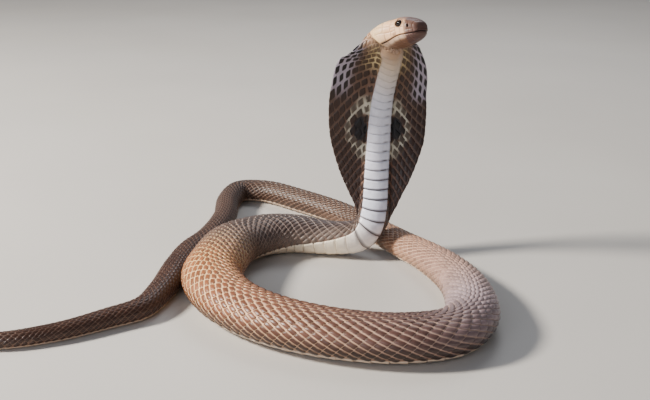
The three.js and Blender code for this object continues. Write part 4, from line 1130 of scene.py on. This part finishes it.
def head_piece():
    s, deg = crossed(head_s, head_deg)
    around = np.abs(deg)
    angle = np.radians(180 - around)
    side = np.where(deg < 0, -1.0, 1.0)
    x, v, _ = section(s, angle)
    per_deg = np.radians(1) * np.maximum(np.hypot(x, v - along(HEAD_DROOP, s)), 0.5)
    per_s = np.interp(s, fine_s, np.gradient(profile_run, fine_s))
    depth, number, lip = shield_field(s, deg, per_s, per_deg)
    under_mouth = v - along(MOUTH_LINE, s)
    mouth_on = (around > SIDE_DEG) * (1 - smooth(MOUTH_CORNER - 0.8, MOUTH_CORNER + 0.2, s))
    mouth = bump(under_mouth, MOUTH_WIDE) * mouth_on
    lift = np.where(number >= 0, SHIELD_LIFT * (1 - np.exp(-depth / SEAM_WIDE)), 0.1)
    lift += LIP_LIFT * bump(under_mouth + LIP_OVER, LIP_WIDE) * mouth_on - MOUTH_DEEP * mouth
    nostril = np.hypot(
        (s - NOSTRIL_PLACE[0]) * per_s / NOSTRIL_LONG,
        (around - NOSTRIL_DEG) * per_deg / NOSTRIL_TALL,
    )
    hole = np.exp(-nostril ** 3)
    lift += NOSTRIL_RIM_LIFT * bump(nostril - NOSTRIL_RIM, NOSTRIL_RIM_WIDE) - NOSTRIL_DEEP * hole
    lift += BROW_LIFT * bump(s - BROW_S, BROW_LONG) * bump(around - BROW_DEG, BROW_WIDE)
    points = bare(s, angle, side)
    eye = np.zeros_like(s)
    for hand in (1, -1):
        centre, axis = eye_place(hand)
        away = points - centre
        out = away @ axis
        rho = np.where(out > 0, np.linalg.norm(away - out[:, None] * axis, axis=1), 9)
        lift -= SOCKET_DEEP * (1 - smooth(EYE_OPENING - 0.25, EYE_OPENING + 0.1, rho))
        lift += EYE_RIM_LIFT * bump(rho - EYE_RADIUS, EYE_RIM_WIDE)
        eye = np.maximum(eye, 1 - smooth(EYE_OPENING, EYE_OPENING + EYE_DARK, rho))
    lift -= NAPE_SUNK * smooth(*NAPE_FROM, s)
    points = skin_point(s, angle, side, lift)
    tip = points[:HEAD_AROUND]
    points[:HEAD_AROUND] = tip.mean(0) + 0.03 * (tip - tip.mean(0))
    rows = len(head_s)
    high = np.maximum(0, SIDE_DEG - around) / SIDE_DEG
    deep = np.maximum(0, around - SIDE_DEG) / 30
    snout_shade_end = SNOUT_SHADE_END + SNOUT_SHADE_HIGH * high ** 2 + SNOUT_SHADE_DEEP * deep ** 2
    layers = {
        "chance": rng.random(len(shields) + 1)[number],
        "rim": np.where(number >= 0, np.exp(-depth / SEAM_DARK), 0.3),
        "dark": np.clip(mouth * 1.2 + hole * 1.3, 0, 1),
        "lip": lip,
        "eye": eye,
        "crown": (1 - smooth(*CROWN_DEG, around)) * (1 - 0.5 * smooth(14, 30, s)),
        # painted shade under the head: the chin and throat darkened brown
        "chin_shade": smooth(*CHIN_SHADE_DEG, around) * (1 - smooth(26, 34, s) * 0.6),
        # the snout's dark front: partly its own colour, partly painted shade
        "snout": 1 - smooth(snout_shade_end - 1.2, snout_shade_end + 1.6, s),
        # the lower lip's pale band: partly its own colour, partly painted light
        "lit_lower_lip": bump(under_mouth - BAND_UNDER, BAND_WIDE) * mouth_on,
        "rear": smooth(*REAR_PART, s),
        "smudge": bump(s - SMUDGE_S, SMUDGE_LONG) * bump(around - SMUDGE_DEG, SMUDGE_WIDE),
    }
    piece = new_piece(
        "head_skin", points, grid_faces(rows, HEAD_AROUND, wrap=True),
        grid_map(rows, HEAD_AROUND, lambda r, c: (r / (rows - 1), c / HEAD_AROUND)),
        layers, head_look,
    )
    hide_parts("head", "lower_jaw")


BALL_ROWS, RING_ROWS, EYE_COLUMNS = 40, 12, 64
RING_THICK = 0.34
POLE_GAP = 0.002
EYE_BULGE = 0.12


def eye_piece(hand):
    """Eyeball with its pole on the way it looks, and the thin raised ring round its opening."""
    centre, axis = eye_place(hand)
    u = np.cross(axis, frame_at(EYE_PLACE[0])[2])
    u /= np.linalg.norm(u)
    w = np.cross(axis, u)
    about = np.linspace(0, 2 * math.pi, EYE_COLUMNS, endpoint=False)
    hand_name = "right" if hand > 0 else "left"

    def turned(a, out, rho):
        """Points from their heights on the axis and distances from it, a row for each entry of a."""
        b = np.tile(about, len(a))[:, None]
        out, rho = (np.repeat(v, EYE_COLUMNS)[:, None] for v in (out, rho))
        return centre + out * axis + rho * (np.cos(b) * u + np.sin(b) * w)

    def ball_map(r, c):
        reach, way = r / (BALL_ROWS - 1) * 0.49, 2 * math.pi * c / EYE_COLUMNS
        return 0.5 + reach * np.cos(way), 0.5 + reach * np.sin(way)

    a = np.linspace(POLE_GAP, math.pi - POLE_GAP, BALL_ROWS)
    bulge = EYE_RADIUS + EYE_BULGE * bump(a, 0.5)
    ball = new_piece(
        "eyeball_" + hand_name, turned(a, bulge * np.cos(a), bulge * np.sin(a)),
        grid_faces(BALL_ROWS, EYE_COLUMNS, wrap=True), grid_map(BALL_ROWS, EYE_COLUMNS, ball_map),
        {"polar": np.repeat(a, EYE_COLUMNS) / math.pi}, eye_look,
    )
    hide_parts("eye_" + hand_name)
    a = np.linspace(0, 2 * math.pi, RING_ROWS, endpoint=False)
    height = math.sqrt(EYE_RADIUS ** 2 - EYE_OPENING ** 2) + 0.02 + RING_THICK * 0.8 * np.sin(a)
    new_piece(
        "eye_ring_" + hand_name,
        turned(a, height, EYE_OPENING + 0.12 + RING_THICK * np.cos(a)),
        grid_faces(RING_ROWS + 1, EYE_COLUMNS, wrap=True) % (RING_ROWS * EYE_COLUMNS),
        grid_map(RING_ROWS + 1, EYE_COLUMNS, lambda r, c: (c / EYE_COLUMNS, r / RING_ROWS)),
        {}, ring_look,
    )


def head_finish():
    look = Look("head_finish")
    fine = look.noise(900.0, 4.0, 0.6)
    broad = look.noise(150.0, 3.0, 0.5)
    colour = look.mix(broad, (255, 210, 160), (244, 186, 136))
    # Peach sides, cream rear, brown crown and paler lips are the head's own colours; the brown under the
    # head is painted shade, and the light lower-lip band partly painted light.
    colour = look.wash(
        colour, ("rear", 0.6, (255, 226, 172)), ("crown", 1, (128, 92, 76)),
        ("lip", 0.5, (244, 200, 160)), ("chin_shade", 0.95, (104, 70, 50)), ("lit_lower_lip", 0.7, (252, 218, 186)),
    )
    shade = look.ramp(look.layer("chance"), [(0, 0.86, 0.86, 0.86), (1, 1.06, 1.06, 1.06)])
    colour = look.mix(1.0, colour, shade, "MULTIPLY")
    colour = look.mix(look.level(fine, -0.15, 0.28), colour, (150, 100, 68))
    # The dark snout front is partly the head's own colour, partly painted shade.
    colour = look.wash(
        colour, ("snout", 0.94, (76, 51, 49)), ("smudge", 0.7, (104, 66, 44)),
        ("rim", 0.5, (116, 76, 54)), ("eye", 0.6, (84, 54, 42)), ("dark", 1, (34, 20, 17)),
    )
    rough = look.level(fine, 0.32, 0.5)
    grain = look.noise(2200.0, 3.0)
    return look.finish(colour, rough, grain, 0.2, 0.0002, Specular_IOR_Level=0.4)


def eye_finish():
    look = Look("eye_finish")
    polar = look.layer("polar")
    streak = look.noise(1400.0, 3.0)

    def rings(*stops):
        """Black and white by the distance from the pole."""
        return look.ramp(polar, [(place, white, white, white) for place, white in stops])

    iris = look.mix(streak, (14, 9, 7), (26, 16, 11))
    colour = look.mix(rings((0.145, 1), (0.155, 0)), iris, (6, 5, 6))
    edge = rings((0.15, 0), (0.16, 1), (0.17, 1), (0.185, 0))
    colour = look.mix(look.times(edge, 0.25), colour, (90, 60, 32))
    colour = look.mix(rings((0.24, 0), (0.3, 1)), colour, (8, 6, 6))
    return look.finish(
        colour, look.level(streak, 0.04, 0.09), streak, 0.02, 0.0001,
        Specular_IOR_Level=0.25, Coat_Weight=0.15, Coat_Roughness=0.03,
    )


def ring_finish():
    look = Look("eye_ring_finish")
    colour = look.mix(look.noise(1100.0, 3.0), (120, 84, 62), (176, 130, 98))
    rough = look.level(look.noise(700.0), 0.35, 0.5)
    return look.finish(colour, rough, look.noise(2400.0), 0.3, 0.0001)


head_look, eye_look, ring_look = head_finish(), eye_finish(), ring_finish()
head_piece()
eye_piece(1)
eye_piece(-1)

# Small scales of the throat, from the chin shields to the first belly scute.
GULAR_PITCH = 3.4
GULAR_ROW = 2.05
GULAR_FROM = 25.6
GULAR_ROWS = range(-6, 7)
GULAR_END, GULAR_REACH, CHIN_END, CHIN_HALF, FIRST_GULAR = 41.5, 0.15, 30.5, 4.2, 27
GULAR_T = np.array([0.0, 0.05, 0.25, 0.5, 0.75, 0.93, 1.0])
GULAR_W = np.array([-1.0, -0.85, -0.3, 0.3, 0.85, 1.0])


def under_head(s, arc, share):
    """Whether a throat scale would run into the chin shields or past its field."""
    past = s > GULAR_END or abs(share) > GULAR_REACH
    return past or (s < CHIN_END and abs(arc) > CHIN_HALF) or (s < FIRST_GULAR and abs(arc) < 1)


def gular_plates():
    spots = []
    for j in GULAR_ROWS:
        for i in range(7):
            s = GULAR_FROM + GULAR_PITCH * (i + 0.5 * (j % 2))
            share = j * GULAR_ROW / on_table(per_belly, s)
            if not under_head(s, j * GULAR_ROW, share):
                spots.append((s, share))
    at, share = np.array(spots).T
    t, w = crossed(GULAR_T, GULAR_W)
    s = at[:, None] + (t[None] - 0.5) * GULAR_PITCH * 0.96
    half = 0.5 * GULAR_ROW * (1 - 0.4 * np.cos(2 * math.pi * t)) - 0.08
    q = share[:, None] + w[None] * half[None] / on_table(per_belly, s)
    border = (np.abs(w) == 1) | (t == 0) | (t == 1)
    lift = np.where(border[None], -0.5, -0.24 + 0.12 * t[None] + 0.1 * (1 - w[None] ** 2))
    centre = np.stack([(at - 20) / 25, 0.5 + share * 2], -1)
    patch = np.stack([(t - 0.5) * 0.02, w * 0.01], -1)
    plates_piece(
        "throat_scales", len(GULAR_T), len(GULAR_W), np.ones(len(at), bool), s, q, lift,
        centre[:, None] + patch, {"run": at / LENGTH, "line": 0 * at}, scutes_look,
    )


gular_plates()

# Floor, lights and camera.
FLOOR = 6.0
floor_mesh = bpy.data.meshes.new("floor")
floor_corners = [(x * FLOOR, y * FLOOR, 0) for x, y in ((-1, -1), (1, -1), (1, 1), (-1, 1))]
floor_mesh.from_pydata(floor_corners, [], [(0, 1, 2, 3)])
floor = bpy.data.objects.new("floor", floor_mesh)
bpy.context.scene.collection.objects.link(floor)
floor_look = Look("floor_finish")
floor_mesh.materials.append(floor_look.finish(
    floor_look.ramp(floor_look.noise(3.0), [(0.3, 0.50, 0.48, 0.45), (0.7, 0.54, 0.52, 0.49)]),
    floor_look.level(floor_look.noise(12.0), 0.75, 0.9), floor_look.noise(400.0), 0.1, 0.0005,
))


def area_light(name, place_, target, size, power, colour):
    data = bpy.data.lights.new(name, "AREA")
    data.shape = "DISK"
    data.size = size
    data.energy = power
    data.color = colour
    ob = bpy.data.objects.new(name, data)
    ob.location = place_
    aim = Vector(target) - Vector(place_)
    ob.rotation_euler = aim.to_track_quat("-Z", "Y").to_euler()
    bpy.context.scene.collection.objects.link(ob)


area_light("key", (-1.45, -0.2, 1.15), (0.0, 0.0, 0.05), 0.35, 96, (1.0, 0.93, 0.84))
area_light("fill", (-0.7, -1.7, 0.7), (0.05, 0.0, 0.08), 1.3, 12, (0.86, 0.9, 1.0))
area_light("rim", (0.4, 1.1, 1.4), (0.0, 0.0, 0.08), 0.9, 10, (0.92, 0.95, 1.0))
world = bpy.data.worlds.new("studio")
world.use_nodes = True
sky = world.node_tree.nodes["Background"]
sky.inputs[0].default_value = (0.86, 0.9, 1.0, 1)
sky.inputs[1].default_value = 0.22
bpy.context.scene.world = world

camera_data = bpy.data.cameras.new("camera")
camera_data.sensor_width = 36
camera_data.sensor_fit = "HORIZONTAL"
camera_data.lens = 55.38
camera = bpy.data.objects.new("camera", camera_data)
camera.location = (0.1110, -0.7287, 0.29526)
camera.rotation_euler = (math.radians(71.737), 0, 0)
bpy.context.scene.collection.objects.link(camera)
bpy.context.scene.camera = camera
